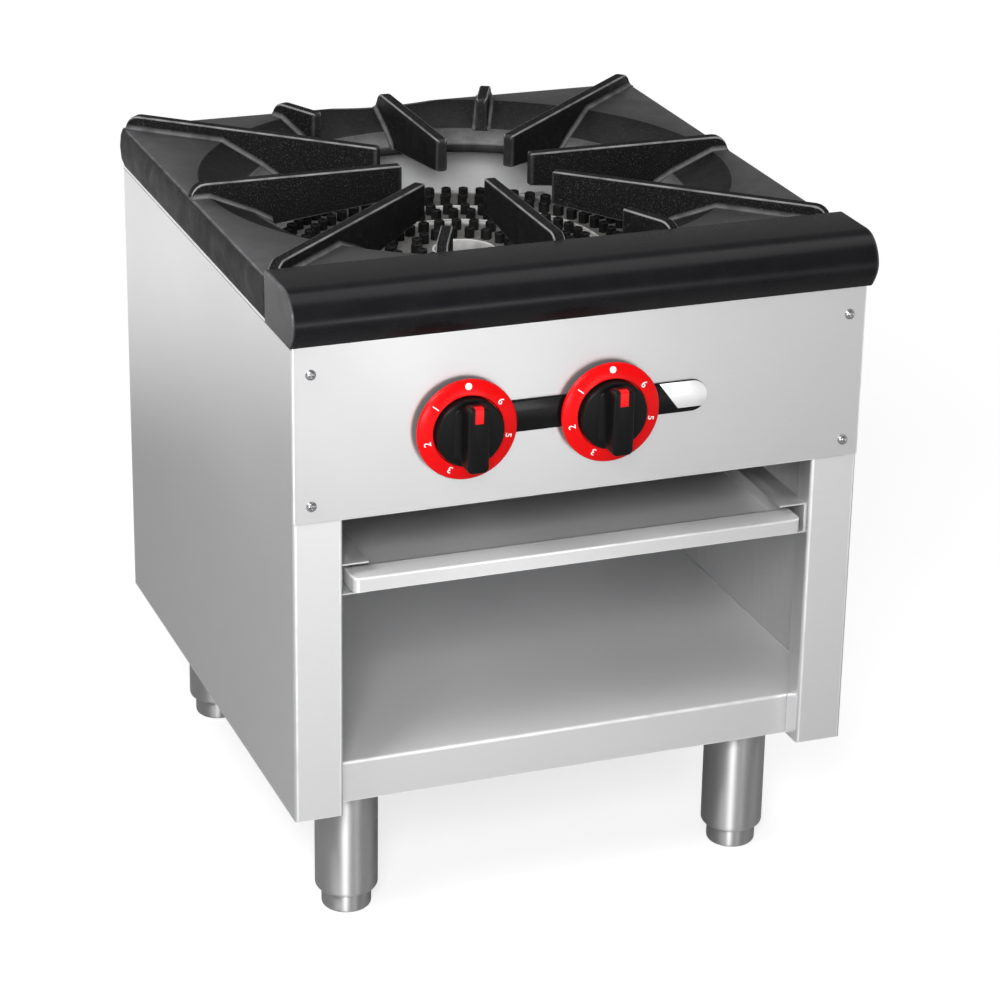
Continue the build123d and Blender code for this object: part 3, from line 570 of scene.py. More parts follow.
# The rims of the pan and of the pull carry painted highlights.
add_layers(bm, point, [
    (pan_loop(0.001), low.z, 0.0),
    (pan_loop(0), low.z + 0.001, 0.0),
    (pan_loop(0), high.z, 1.0),
    (pan_loop(tray_sheet), high.z, 1.0),
    (pan_loop(tray_sheet), high.z - 0.001, 0.0),
    (pan_loop(tray_sheet), low.z + 2 * tray_sheet, 0.0),
    (pan_loop(2 * tray_sheet), low.z + tray_sheet, 0.0),
], upright)
add_layers(bm, point, [
    (pull_loop(pull_round + pull_line), high.z, 0.0),
    (pull_loop(pull_round), high.z, 1.0),
    (pull_loop(pull_round * 0.3), high.z - pull_round * 0.3, 1.0),
    (pull_loop(0), high.z - pull_round, 1.0),
    (pull_loop(0), high.z - pull_round - pull_line, 0.0),
    (pull_loop(0), high.z - pull_height + pull_line, 0.0),
    (pull_loop(0), high.z - pull_height, 1.0),
    (pull_loop(tray_sheet, tray_sheet), high.z - pull_height, 1.0),
    (pull_loop(tray_sheet, tray_sheet), high.z - tray_sheet, 0.0),
], upright)
# The pan takes the same brushed steel made paler and less metallic, so that it reads bright under the control
# panel: painted light.
lit_tray_steel = brushed_steel("steel_brushed_tray_painted_light", (14, 1000, 1000), 0.74, 0.755, 0.97, 0.36, 0.3)
mark_faces(bm, 1, lambda normal, middle: middle.y < low.y + pull_corner and abs(normal.z) < 0.5)
finish_piece("tray_pan", bm, [lit_tray_steel, post_steel], "tray", ["drip_tray"])

# ---------------------------------------------------------------- gas train
# A black 3/4 inch pipe with a cap, brass valves and orifices, and the pilot's tube and head.
def mottled(name, metallic, roughness, specular, per_metre, low, high, detail=2.0, depth=0.0):
    """A plain finish whose colour varies a little, with a fine relief where depth is given."""
    mat, tree, shader = new_material(name, metallic, roughness, specular)
    noise = put(tree, "ShaderNodeTexNoise",
                {"Vector": object_place(tree), "Scale": per_metre, "Detail": detail}).outputs["Fac"]
    feed(tree, shader, {"Base Color": blend_colours(tree, noise, low, high)})
    if depth:
        feed(tree, shader, {"Normal": relief(tree, noise, depth)})
    return mat


pipe_black = mottled("pipe_black", 0.2, 0.5, 0.5, 380.0, (0.015, 0.015, 0.016), (0.05, 0.05, 0.052),
                     5.0, 0.0001)
turned_brass = satin_metal("brass_turned", (0.55, 0.38, 0.14), (0.72, 0.52, 0.22), 0.28)
soft_aluminium = satin_metal("aluminium_tube", (0.62, 0.62, 0.64), (0.72, 0.72, 0.74), 0.30)
pilot_metal = satin_metal("steel_pilot", (0.35, 0.35, 0.36), (0.48, 0.48, 0.49), 0.35)
dress(pipe_black, "gas_manifold", "pipe_coupling", "inlet_pipe", "manifold_cap")
dress(turned_brass, "valve_left", "valve_right", "orifice_left", "orifice_right",
      "valve_stem_left", "valve_stem_right", "pilot_valve")
dress(soft_aluminium, "pilot_tube")
dress(pilot_metal, "pilot_burner", "outer_air_shutter", "inner_air_shutter")

# ---------------------------------------------------------------- mixers and burner rings
# Cast iron rings with a raised rim along each edge and two staggered rows of six-sided ports,
# fed by mixing tubes from below.
ring_body = 0.018
ring_rim = 0.0024
port_across = 0.009
port_height = 0.0085
port_pitch = 0.0145
port_rows = (0.3, 0.72)
ring_bridge = 0.016

# Cast skin: sand grain, pits and broad patches, for the burner, the grate and the rail.
cast_skin, given, made = group_tree("cast_skin", "ShaderNodeTree", [
    ("Grains per metre", "INPUT", "NodeSocketFloat", 700.0),
    ("Patches per metre", "INPUT", "NodeSocketFloat", 40.0),
    ("Grain", "OUTPUT", "NodeSocketFloat", None),
    ("Patch", "OUTPUT", "NodeSocketFloat", None),
])
place = object_place(cast_skin)
grains = put(cast_skin, "ShaderNodeTexNoise", {"Vector": place, "Scale": given.outputs["Grains per metre"],
                                               "Detail": 4.0, "Roughness": 0.75})
patches = put(cast_skin, "ShaderNodeTexNoise", {"Vector": place, "Scale": given.outputs["Patches per metre"],
                                                "Detail": 3.0, "Distortion": 0.4})
feed(cast_skin, made, {"Grain": grains.outputs["Fac"], "Patch": patches.outputs["Fac"]})


def cast_iron(name, dark, light, edge, roughness, grains=700.0, depth=0.00025, specular=0.5, glint_grey=0.0):
    """Sand-cast iron: grain relief, broad patches, painted edge highlights and painted glints on the grains.
    """
    mat, tree, shader = new_material(name, 0.0, roughness, specular)
    skin = put(tree, "ShaderNodeGroup", {"Grains per metre": grains}, node_tree=cast_skin).outputs
    tone = blend_colours(tree, spread(tree, skin["Grain"], 0, 1, 0.35, 0.7), dark, light)
    colour = rub(tree, tone, edge)
    # Where a grey for the glints is given, bright grains carry painted glints.
    if glint_grey:
        glint = spread(tree, skin["Grain"], 0, 1, 0.58, 0.74)
        colour = blend_colours(tree, glint, colour, grey(glint_grey))
    feed(tree, shader, {
        "Base Color": colour,
        "Roughness": spread(tree, skin["Patch"], roughness - 0.08, roughness + 0.1, 0.3, 0.7),
        "Normal": relief(tree, skin["Grain"], depth),
    })
    return mat


burner_iron = cast_iron("iron_burner", (0.08, 0.078, 0.075), (0.22, 0.215, 0.205),
                        (0.62, 0.61, 0.60), 0.45, 900.0, 0.0002)
port_iron = cast_iron("iron_ports", grey(0.003), grey(0.012), grey(0.2), 0.45, specular=0.2)
dress(burner_iron, "outer_mixer", "inner_mixer")

grate_low, grate_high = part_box("top_grate")
outer_low, outer_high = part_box("burner_outer_ring")
hearth = (outer_low.y + outer_high.y) / 2
burner_base = outer_low.z
rings = {
    "outer_burner": [(0.1155, 0.160)],
    "inner_burner": [(0.078, 0.112), (0.024, 0.074)],
}


def port_places(ring):
    """Where a ring's ports stand, with each one's turn."""
    spots = []
    inner, outer = ring
    for n, share in enumerate(port_rows):
        radius = inner + share * (outer - inner)
        count = round(2 * pi * radius / port_pitch)
        for k in range(count):
            a = 2 * pi * (k + 0.5 * (n % 2)) / count
            spots.append((radius * cos(a), hearth + radius * sin(a), burner_base + ring_body, a))
    return spots


# One tree stands a copy, a port or a screw, on every point of a mesh, turned as its mark says.
copy_tree, given, made = group_tree("stand_copies", "GeometryNodeTree", [
    ("Geometry", "INPUT", "NodeSocketGeometry", None),
    ("Copied", "INPUT", "NodeSocketObject", None),
    ("Finish", "INPUT", "NodeSocketMaterial", None),
    ("Geometry", "OUTPUT", "NodeSocketGeometry", None),
])
turned = put(copy_tree, "GeometryNodeInputNamedAttribute", {"Name": "turn"}, data_type="FLOAT")
spin = put(copy_tree, "ShaderNodeCombineXYZ", {"Z": turned.outputs["Attribute"]})
info = put(copy_tree, "GeometryNodeObjectInfo", {"Object": given.outputs["Copied"]})
stand = put(copy_tree, "GeometryNodeInstanceOnPoints",
            {"Points": given.outputs["Geometry"], "Instance": info.outputs["Geometry"],
             "Rotation": spin.outputs[0]})
realize = put(copy_tree, "GeometryNodeRealizeInstances", {"Geometry": stand.outputs["Instances"]})
paint = put(copy_tree, "GeometryNodeSetMaterial",
            {"Geometry": realize.outputs[0], "Material": given.outputs["Finish"]})
feed(copy_tree, made, {"Geometry": paint.outputs[0]})


def bake(obj):
    """A plain mesh of an object, as its modifiers leave it, and takes them off."""
    bpy.context.view_layer.update()
    mesh = bpy.data.meshes.new_from_object(obj.evaluated_get(bpy.context.evaluated_depsgraph_get()))
    obj.modifiers.clear()
    return mesh


def stand_on_points(name, spots, master, material, body):
    """Bakes copies of a small mesh on (x, y, z, turn) points into one piece."""
    mesh = bpy.data.meshes.new(name)
    mesh.from_pydata([spot[:3] for spot in spots], [], [])
    mark = mesh.attributes.new("turn", "FLOAT", "POINT")
    mark.data.foreach_set("value", [spot[3] for spot in spots])
    holder = place_object(name + "_points", mesh)
    modifier = holder.modifiers.new("stand", "NODES")
    modifier.node_group = copy_tree
    ids = {item.name: item.identifier for item in copy_tree.interface.items_tree
           if item.in_out == "INPUT"}
    modifier[ids["Copied"]] = master
    modifier[ids["Finish"]] = material
    baked = bake(holder)
    bpy.data.objects.remove(holder)
    bpy.data.objects.remove(master)
    baked.name = name
    baked.shade_smooth()
    baked.set_sharp_from_angle(angle=radians(30))
    obj = place_object(name, baked)
    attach(obj, body)
    return obj
for name, parts in rings.items():
    bm, point = new_bmesh()
    for inner, outer in parts:
        rim = ring_body + ring_rim
        # The rims' rounded edges carry painted highlights.
        section = [(inner, 0), (outer, 0), (outer, rim - 0.0004, 0.8), (outer - 0.0004, rim, 1.0),
                   (outer - ring_rim + 0.0006, rim, 1.0), (outer - ring_rim, ring_body),
                   (inner + ring_rim, ring_body), (inner + ring_rim - 0.0006, rim, 1.0),
                   (inner + 0.0004, rim, 1.0), (inner, rim - 0.0004, 0.8)]
        add_lathe(bm, point, section, (0, hearth, burner_base), 128)
    if name == "inner_burner":
        gap_low, gap_high = parts[1][1] - ring_rim, parts[0][0] + ring_rim
        for angle in (45, 135, 225, 315):
            a = radians(angle)
            out, across = Vector((cos(a), sin(a))), Vector((-sin(a), cos(a)))
            corners = [out * reach + across * step * ring_bridge / 2 for reach, step in
                       ((gap_low, -1), (gap_high, -1), (gap_high, 1), (gap_low, 1))]
            add_layers(bm, point, [(corners, 0, 0), (corners, ring_body - 0.0002, 0)],
                       lambda x, y, z: (x, hearth + y, burner_base + z))
    node = {"outer_burner": "burner_outer_ring", "inner_burner": "burner_inner_rings"}[name]
    finish_piece(name, bm, burner_iron, "cabinet", [node])
    bm, point = new_bmesh()
    hexagon = [Vector((port_across / 2 * cos(radians(60 * k)), port_across / 2 * sin(radians(60 * k))))
               for k in range(6)]
    small = [p * 0.84 for p in hexagon]
    tiny = [p * 0.42 for p in hexagon]
    add_layers(bm, point, [(hexagon, 0, 0), (hexagon, port_height - 0.0008, 0), (small, port_height, 0),
                           (tiny, port_height, 0), (tiny, port_height - 0.003, 0)], upright)
    spots = [spot for ring in parts for spot in port_places(ring)]
    stand_on_points(f"{name}_ports", spots, place_object("port", to_mesh("port", bm)), port_iron, "cabinet")

# ---------------------------------------------------------------- top grate
# One iron casting: a crowned skirt, a deck that falls as a funnel to the round opening, and
# twelve tapered ribs that stand on the deck and carry the pot over the flame.
deck_height = 0.0326
skirt_crown = 0.0035
deck_wall = 0.008
skirt_wall = 0.008
plan_corner = 0.0095
crest_radius = 0.214
throat_radius = 0.178
throat_height = 0.0171
opening_radius = 0.163
lip_height = 0.0086
rib_height = 0.0441
rib_width = 0.010
rib_tip_depth = 0.027
rib_undercut_rise = 0.11
rib_round = 0.0013
rib_foot = 0.0034
side_rib_reach = 0.055
corner_rib_reach = 0.076
short_rib_reach = 0.176
short_rib_angle = 24.5

deck_iron = cast_iron("iron_deck", (0.020, 0.020, 0.021), (0.038, 0.038, 0.040),
                      (0.11, 0.11, 0.115), 0.40, 500.0, 0.00008)
# The ribs and the opening's wall take a darker copy of the deck's iron, painted shade for faces that turn
# away from the light.
shaded_rib_iron = cast_iron("iron_ribs_painted_shade", (0.003, 0.003, 0.003), (0.009, 0.009, 0.010),
                     (0.30, 0.30, 0.305), 0.50, 900.0, 0.0007, 0.08, 0.13)
# The funnel's slopes and the skirt take a darker copy too, painted shade where they fall away from the light.
shaded_slope_iron = cast_iron("iron_slopes_painted_shade", (0.003, 0.003, 0.003), (0.007, 0.007, 0.008),
                       (0.14, 0.14, 0.145), 0.50, 560.0, 0.0005, 0.16, 0.05)
lip_iron = cast_iron("iron_lip", (0.022, 0.022, 0.023), (0.055, 0.055, 0.056),
                     (0.20, 0.20, 0.205), 0.62, 420.0, 0.0006, 0.35, 0.12)
grate_floor = grate_low.z
grate_front = grate_low.y
grate_half = half_width
half_depth = (back - grate_front) / 2

# The material of each band of the deck, outwards from the opening: its wall, the lip, the slope,
# the flat, the skirt and the underside. The wall, the slope and the skirt take the darker copies of
# the iron, which are painted shade.
deck_bands = [1] + 3 * [3] + 3 * [2] + 3 * [0] + 5 * [2] + 6 * [0]

def skirt_reach(angle, grow):
    """How far the casting's outline lies from the burner's axis, in a direction."""
    c, s = cos(angle), sin(angle)
    wide = grate_half + grow
    deep = half_depth + (grow if s > 0 else 0.0)
    reach = min(wide / max(abs(c), 1e-9), deep / max(abs(s), 1e-9))
    if s > 0:
        r = plan_corner
        cx, cy = wide - r, deep - r
        x, y = abs(c) * reach, s * reach
        if x > cx and y > cy:
            dot = abs(c) * cx + s * cy
            reach = dot + sqrt(max(0.0, dot * dot - (cx * cx + cy * cy) + r * r))
    return reach


def deck_surface(radius):
    """Height of the deck's upper face, at a distance from the burner's axis."""
    slope = (deck_height - throat_height) / (crest_radius - throat_radius)
    if radius < throat_radius:
        share = (radius - opening_radius) / (throat_radius - opening_radius)
        return lip_height + share * (throat_height - lip_height)
    return min(deck_height, throat_height + slope * (radius - throat_radius))


corner_angles = [atan2(sy * half_depth, sx * grate_half) % (2 * pi) for sx in (1, -1) for sy in (1, -1)]
near_corners = [(a + d) % (2 * pi) for a in corner_angles for d in (-0.022, -0.011, 0.011, 0.022)]
deck_angles = sorted(set([2 * pi * k / 240 for k in range(240)] + corner_angles + near_corners))
bm, point = new_bmesh()
deck_rings = []
for a in deck_angles:
    edge = skirt_reach(a, 0.0)
    edge_z = deck_surface(edge)
    # Along the lip, the throat, the crest and the skirt's edge, the third values are painted highlights.
    column = [(opening_radius, 0.0008, 0), (opening_radius, lip_height - 0.0012, 0.2),
              (opening_radius + 0.0012, lip_height + 0.0002, 0.8)]
    for radius, edge_highlight in ((throat_radius - 0.0012, 0.2), (throat_radius, 0.4),
                           (throat_radius + 0.0012, 0.1), (crest_radius - 0.0012, 0.0),
                           (crest_radius, 0.1), (crest_radius + 0.0012, 0.0)):
        radius = min(radius, edge - 0.0022)
        column.append((radius, deck_surface(radius), edge_highlight))
    column += [(edge - 0.0015, edge_z, 0.3), (edge - 0.0004, edge_z - 0.0003, 1.0)]
    for share in (0.04, 0.2, 0.5, 0.8, 1.0):
        level = edge_z * (1 - share)
        t = 2 * level / deck_height - 1
        crown = skirt_crown * sqrt(max(0.0, 1 - t * t * 0.98))
        column.append((skirt_reach(a, crown), level, 0.0))
    inside = min((grate_half - skirt_wall) / max(abs(cos(a)), 1e-9),
                 (half_depth - skirt_wall) / max(abs(sin(a)), 1e-9))
    inside = max(inside, opening_radius + 3 * deck_wall)
    column += [(inside, 0.0, 0), (inside, deck_surface(inside) - deck_wall, 0),
               (min(crest_radius, inside - 0.001), deck_surface(min(crest_radius, inside)) - deck_wall, 0),
               (throat_radius, throat_height - deck_wall, 0),
               (opening_radius + deck_wall, 0.0008, 0)]
    deck_rings.append([point((r * cos(a), hearth + r * sin(a), grate_floor + z), w) for r, z, w in column])
deck_faces = join_rings(bm, deck_rings + deck_rings[:1])
for n, deck_face in enumerate(deck_faces):
    deck_face.material_index = deck_bands[n % len(deck_bands)]
bmesh.ops.recalc_face_normals(bm, faces=deck_faces)

corner_angle = atan2(half_depth, grate_half)
corner_reach = hypot(grate_half, half_depth) - 0.006
rib_list = [(0, side_rib_reach, grate_half), (pi, side_rib_reach, grate_half),
            (pi / 2, side_rib_reach, half_depth), (-pi / 2, side_rib_reach, half_depth)]
for a in (corner_angle, pi - corner_angle, pi + corner_angle, -corner_angle):
    rib_list.append((a, corner_rib_reach, corner_reach))
short = radians(short_rib_angle)
short_reach = half_depth / cos(short) - rib_width * tan(short) / 2
rib_list += [(a + t, short_rib_reach, short_reach) for a in (pi / 2, -pi / 2) for t in (-short, short)]
shoulder = rib_height - deck_height


def rib_section(radius, inner, outer):
    """A rib's outline across it, with its rounded top and its flared foot."""
    crown = rib_height
    if radius > outer - shoulder:
        crown = deck_height + sqrt(max(0.0, shoulder ** 2 - (radius - outer + shoulder) ** 2))
    if radius < opening_radius - 0.001:
        floor = rib_height - rib_tip_depth - rib_undercut_rise * (radius - inner)
        foot = floor
    else:
        foot = deck_surface(radius)
        floor = foot - deck_wall / 2
    half = rib_width / 2
    top_round = min(rib_round, max(0.0002, (crown - foot) * 0.45))
    limit = crown - top_round - 0.0003
    # The third values are painted highlights: on the underside's round, the foot's fillet and the top's
    # round.
    if radius < opening_radius - 0.001:
        root = [(half - rib_round, floor, 0), (half - rib_round * 0.3, floor + rib_round * 0.3, 0.4),
                (half, floor + rib_round, 0), (half, floor + 0.0022, 0), (half, floor + 0.0030, 0)]
    else:
        root = [(half + rib_foot, floor, 0), (half + rib_foot, min(foot, limit - 0.0004), 0.1),
                (half + 0.45 * rib_foot, min(foot + 0.22 * rib_foot, limit - 0.0003), 0.5),
                (half + 0.15 * rib_foot, min(foot + 0.6 * rib_foot, limit - 0.0002), 0.3),
                (half, min(foot + 1.2 * rib_foot, limit - 0.0001), 0)]
    right = root + [(half - 0.0003, limit, 0), (half - 0.0004, crown - top_round, 0.6),
                    (half - 0.0004 - top_round * 0.3, crown - top_round * 0.3, 1),
                    (half - 0.0004 - top_round, crown, 0.0), (half - 0.0006 - top_round * 1.2, crown, 0)]
    return right + [(-x, z, w) for x, z, w in reversed(right)]


for a, inner, outer in rib_list:
    out, across = Vector((cos(a), sin(a))), Vector((-sin(a), cos(a)))
    stations = [inner, inner + 0.0012, inner + 0.003]
    marks = [opening_radius - 0.0012, opening_radius + 0.0002, throat_radius, crest_radius]
    stations += [m for m in marks if inner + 0.004 < m < outer - shoulder - 0.002]
    stations += [outer - shoulder + shoulder * sin(radians(t)) for t in (0, 18, 36, 54, 70, 82, 89)]
    rings_of_rib = []
    for n, radius in enumerate(stations):
        squeeze = (0.72, 0.93, 1.0)[n] if n < 3 else 1.0
        drop = (0.0016, 0.0004, 0.0)[n] if n < 3 else 0.0
        ring = []
        for x, z, w in rib_section(max(radius, inner), inner, outer):
            z = min(z, rib_height - drop)
            flat = out * radius + across * x * squeeze
            # The inner end of a rib carries a faint painted highlight all over.
            ring.append(point((flat.x, hearth + flat.y, grate_floor + z), max(w, 0.12 if n < 2 else 0)))
        rings_of_rib.append(ring)
    middle = sum((vert.co for vert in rings_of_rib[0]), Vector()) / len(rings_of_rib[0])
    rings_of_rib.insert(0, [point(vert.co.lerp(middle, 0.2), 0.05) for vert in rings_of_rib[0]])
    for rib_face in close_rings(bm, rings_of_rib):
        rib_face.material_index = 1
finish_piece("pot_grate", bm, [deck_iron, shaded_rib_iron, shaded_slope_iron, lip_iron], "grate",
             ["top_grate"])

# ---------------------------------------------------------------- bullnose rail
# An iron rail with a round nose along the whole front, in black satin enamel, solid and closed
# at both ends.
rail_wall = 0.003
rail_flat_end = 0.011
rail_nose_height = 0.021
rail_heel = 0.0025
rail_round = 0.0016
low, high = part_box("bullnose")
rail_rear, rail_nose, rail_half = high.y, low.y, high.x
rail_height = high.z - low.z
reach_back = face + rail_flat_end - rail_nose
rail_rise = rail_height - rail_nose_height
nose_radius = (reach_back ** 2 + rail_rise ** 2) / (2 * rail_rise)


def rail_outline(inset):
    """The rail's section as (y, z) points, offset inwards."""
    centre = Vector((face + rail_flat_end, top + rail_height - nose_radius))
    end = atan2(top + rail_nose_height - centre.y, rail_nose - centre.x)
    start = pi / 2
    arc = [Vector((centre.x + nose_radius * cos(start + (end - start) * k / 14),
                   centre.y + nose_radius * sin(start + (end - start) * k / 14))) for k in range(15)]
    heel = Vector((face - sheet - rail_heel, top))
    tangent = (arc[-1] - arc[-2]).normalized()
    under = []
    for k in range(1, 11):
        t = k / 10
        ahead = arc[-1] + tangent * (arc[-1] - heel).length * 0.35
        under.append((1 - t) ** 2 * arc[-1] + 2 * t * (1 - t) * ahead + t * t * heel)
    corner = Vector((rail_rear - rail_wall, top + rail_height - rail_wall))
    rear = [corner + rail_wall * Vector((cos(radians(a)), sin(radians(a)))) for a in (0, 22, 45, 67, 90)]
    points = arc + under + [Vector((rail_rear, top))] + rear
    if not inset:
        return points
    moved = []
    for i, p in enumerate(points):
        d1 = (p - points[i - 1]).normalized()
        d2 = (points[(i + 1) % len(points)] - p).normalized()
        n1, n2 = Vector((-d1.y, d1.x)), Vector((-d2.y, d2.x))
        n = (n1 + n2).normalized()
        moved.append(p + n * inset / max(0.5, n.dot(n1)))
    return moved


rail_enamel, tree, shader = new_material("enamel_black", 0.0, 0.26, 0.15)
skin = put(tree, "ShaderNodeGroup", {"Grains per metre": 420.0}, node_tree=cast_skin).outputs
tone = blend_colours(tree, skin["Patch"], (0.004, 0.004, 0.005), (0.008, 0.008, 0.009))
feed(tree, shader, {
    "Base Color": rub(tree, tone, (0.10, 0.10, 0.105)),
    "Roughness": spread(tree, skin["Patch"], 0.22, 0.30, 0.3, 0.7),
    "Normal": relief(tree, skin["Grain"], 0.00005),
})

bm, point = new_bmesh()
# The rounded edges at both ends carry a painted highlight.
steps = [(0.0, rail_round + 0.0014, 0.0), (0.0, rail_round, 0.6),
         (rail_round * 0.3, rail_round * 0.3, 1.0), (rail_round, 0.0, 0.4),
         (rail_round + 0.001, 0.0, 0.0)]
rail_layers = [(rail_outline(inset), -rail_half + x, edge_highlight) for x, inset, edge_highlight in steps]
rail_layers += [(rail_outline(inset), rail_half - x, edge_highlight) for x, inset, edge_highlight in reversed(steps)]
add_layers(bm, point, rail_layers, lambda y, z, x: (x, y, z))
finish_piece("front_rail", bm, rail_enamel, "cabinet", ["bullnose"])

# ---------------------------------------------------------------- control panel and its screws
# A brushed sheet over both posts, with its grain from side to side, held by four pan head
# screws with cross recesses.
# The panel's steel is darker than the same steel on the posts beside it, painted shade that holds back the
# lamps' highlight.
shaded_front_steel = brushed_steel("steel_brushed_front_painted_shade", (14, 1400, 1400), 0.55, 0.565, 0.97, 0.34, 0.8)
panel_corner = 0.0016
panel_round = 0.0007
panel_return = 0.018
low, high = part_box("control_panel")


def panel_loop(inset):
    return rounded_rect(low.x + inset, high.x - inset, low.z + inset, high.z - inset, panel_corner, 4)


bm, point = new_bmesh()
# The panel's rounded edge and its top and bottom returns carry painted highlights.
add_layers(bm, point, [
    (panel_loop(panel_round + 0.0008), low.y, 0.0),
    (panel_loop(panel_round), low.y, 0.9),
    (panel_loop(panel_round * 0.3), low.y + panel_round * 0.3, 1.0),
    (panel_loop(0), low.y + panel_round, 0.8),
    (panel_loop(0), face, 0.3),
], front_facing)
between = half_width - post_width - 0.0005
for level in (low.z, high.z - sheet):
    edge = rounded_rect(-between, between, face, face + panel_return)
    add_layers(bm, point, [(edge, level, 0.2), (edge, level + sheet, 0.2)], upright)
finish_piece("control_front", bm, shaded_front_steel, "cabinet", ["control_panel"])

screw_bright = satin_metal("steel_screw", (0.30, 0.30, 0.31), (0.46, 0.46, 0.47), 0.22)
low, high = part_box("panel_screws")
screw_radius = 0.004
screw_proud = face - sheet - low.y
cross_length = 0.0046
cross_width = 0.0011
cross_depth = 0.0011
bm, point = new_bmesh()
dome = [(screw_radius, 0.0), (screw_radius, 0.0007)]
dome += [(screw_radius * cos(radians(t)), 0.0007 + (screw_proud - 0.0007) * sin(radians(t)))
         for t in (20, 38, 55, 70)]
add_lathe(bm, point, [(0, 0)] + dome + [(0, screw_proud)], (0, 0, 0), 32, "Y", closed=False)
add_lathe(bm, point, [(0, 0.0), (0.002, 0.0), (0.002, -0.0075), (0.0012, -0.009), (0, -0.009)],
          (0, 0, 0), 16, "Y", closed=False)
screw_master = place_object("screw", to_mesh("screw", bm))
cross, point = new_bmesh()
for wide, tall in ((cross_length, cross_width), (cross_width, cross_length)):
    arm = rounded_rect(-wide / 2, wide / 2, -tall / 2, tall / 2)
    add_layers(cross, point, [(arm, -screw_proud - 0.001, 0), (arm, -screw_proud + cross_depth, 0)],
               front_facing)
cutter = place_object("cross", to_mesh("cross", cross))
cut = screw_master.modifiers.new("cut", "BOOLEAN")
cut.object = cutter
cut.operation = "DIFFERENCE"
cut.solver = "EXACT"
cut.use_self = True
screw_master.data = bake(screw_master)
bpy.data.objects.remove(cutter)
spots = []
for x in (low.x + screw_radius, high.x - screw_radius):
    for z in (low.z + screw_radius, high.z - screw_radius):
        spots.append((x, face - sheet, z, 0.0))
screws = stand_on_points("panel_fixings", spots, screw_master, screw_bright, "cabinet")
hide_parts("panel_screws")

# ---------------------------------------------------------------- badge plate
# A slim bare plate behind the knobs: a dark glossy strip with a bright rounded end. Under the
# bright end a dark band is left along the bottom, painted shade for the plate's lower side.
low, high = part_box("badge_plate")
plate_cut = 0.0764
plate_slant = 0.0188
plate_shade_band = 0.0035
plate_inlay = 0.0002
plate_round = 0.0008
plate_black = mottled("plate_black", 0.0, 0.16, 0.15, 60.0, grey(0.002), (0.006, 0.006, 0.007), 3.0)
plate_silver = brushed_steel("plate_silver", (14, 900, 900), 0.80, 0.88, 0.97, 0.30, blue=0.01)
tall = high.z - low.z


def plate_loop(inset):
    """The whole plate's outline, round at both ends."""
    return rounded_rect(low.x + inset, high.x - inset, low.z + inset, high.z - inset,
                        tall / 2 - 0.00001 - inset, 12)


def silver_loop(inset):
    """The bright end: right of the slanted cut and above the band of painted shade along the bottom."""
    floor = low.z + plate_shade_band + inset
    points = []
    for p in rounded_rect(0, high.x - inset, low.z + inset, high.z - inset, tall / 2 - 0.00001 - inset, 12,
                          (0, 1, 1, 0)):
        level = max(p.y, floor)
        across = p.x if p.x > 0 else plate_cut - plate_slant * (level - low.z) / tall + inset
        points.append(Vector((across, level)))
    return points


bm, point = new_bmesh()
# The rounded edges of the strip and of the bright end carry painted highlights.
add_layers(bm, point, [
    (plate_loop(plate_round), low.y + plate_inlay, 0.3),
    (plate_loop(plate_round * 0.3), low.y + plate_inlay + plate_round * 0.3, 1.0),
    (plate_loop(0), low.y + plate_inlay + plate_round, 0.5),
    (plate_loop(0), face - sheet, 0.0),
], front_facing)
finish_piece("badge_strip", bm, plate_black, "cabinet", ["badge_plate"])
bm, point = new_bmesh()
add_layers(bm, point, [
    (silver_loop(plate_round * 0.6), low.y, 0.4),
    (silver_loop(plate_round * 0.3), low.y + plate_round * 0.1, 1.0),
    (silver_loop(plate_round * 0.3), low.y + plate_inlay + plate_round, 0.0),
], front_facing)
finish_piece("badge_end", bm, plate_silver, "cabinet")

# ---------------------------------------------------------------- dials
# Glossy red rings, a conical face round a well, a white dot for off and plain numbers. Their
# backs are black, painted shade that also darkens their reflection in the panel.
dial_gloss = mottled("dial_red_gloss", 0.0, 0.26, 0.14, 90.0, (0.62, 0.001, 0.002), (0.68, 0.003, 0.004),
                     depth=0.00002)
mark_white = mottled("mark_white", 0.0, 0.45, 0.5, 900.0, grey(0.84), grey(0.92))

dial_radius = 0.0392
dial_collar = 0.020
dial_standoff = 0.005
dial_rim_depth = 0.003
dial_crown = 0.0056
dial_well = 0.0276
dial_floor = 0.0015
stem_hole = 0.006
dot_radius = 0.0026
dot_reach = 0.0345
figure_height = 0.0056
figure_reach = 0.0322
figure_step = 360 / 7
figure_relief = 0.00012
capital_share = 0.72


def dial_level(radius):
    """How far the dial's conical face stands off the panel at a radius."""
    share = (dial_radius - radius) / (dial_radius - dial_well)
    return dial_standoff + dial_rim_depth + share * (dial_crown - dial_rim_depth)


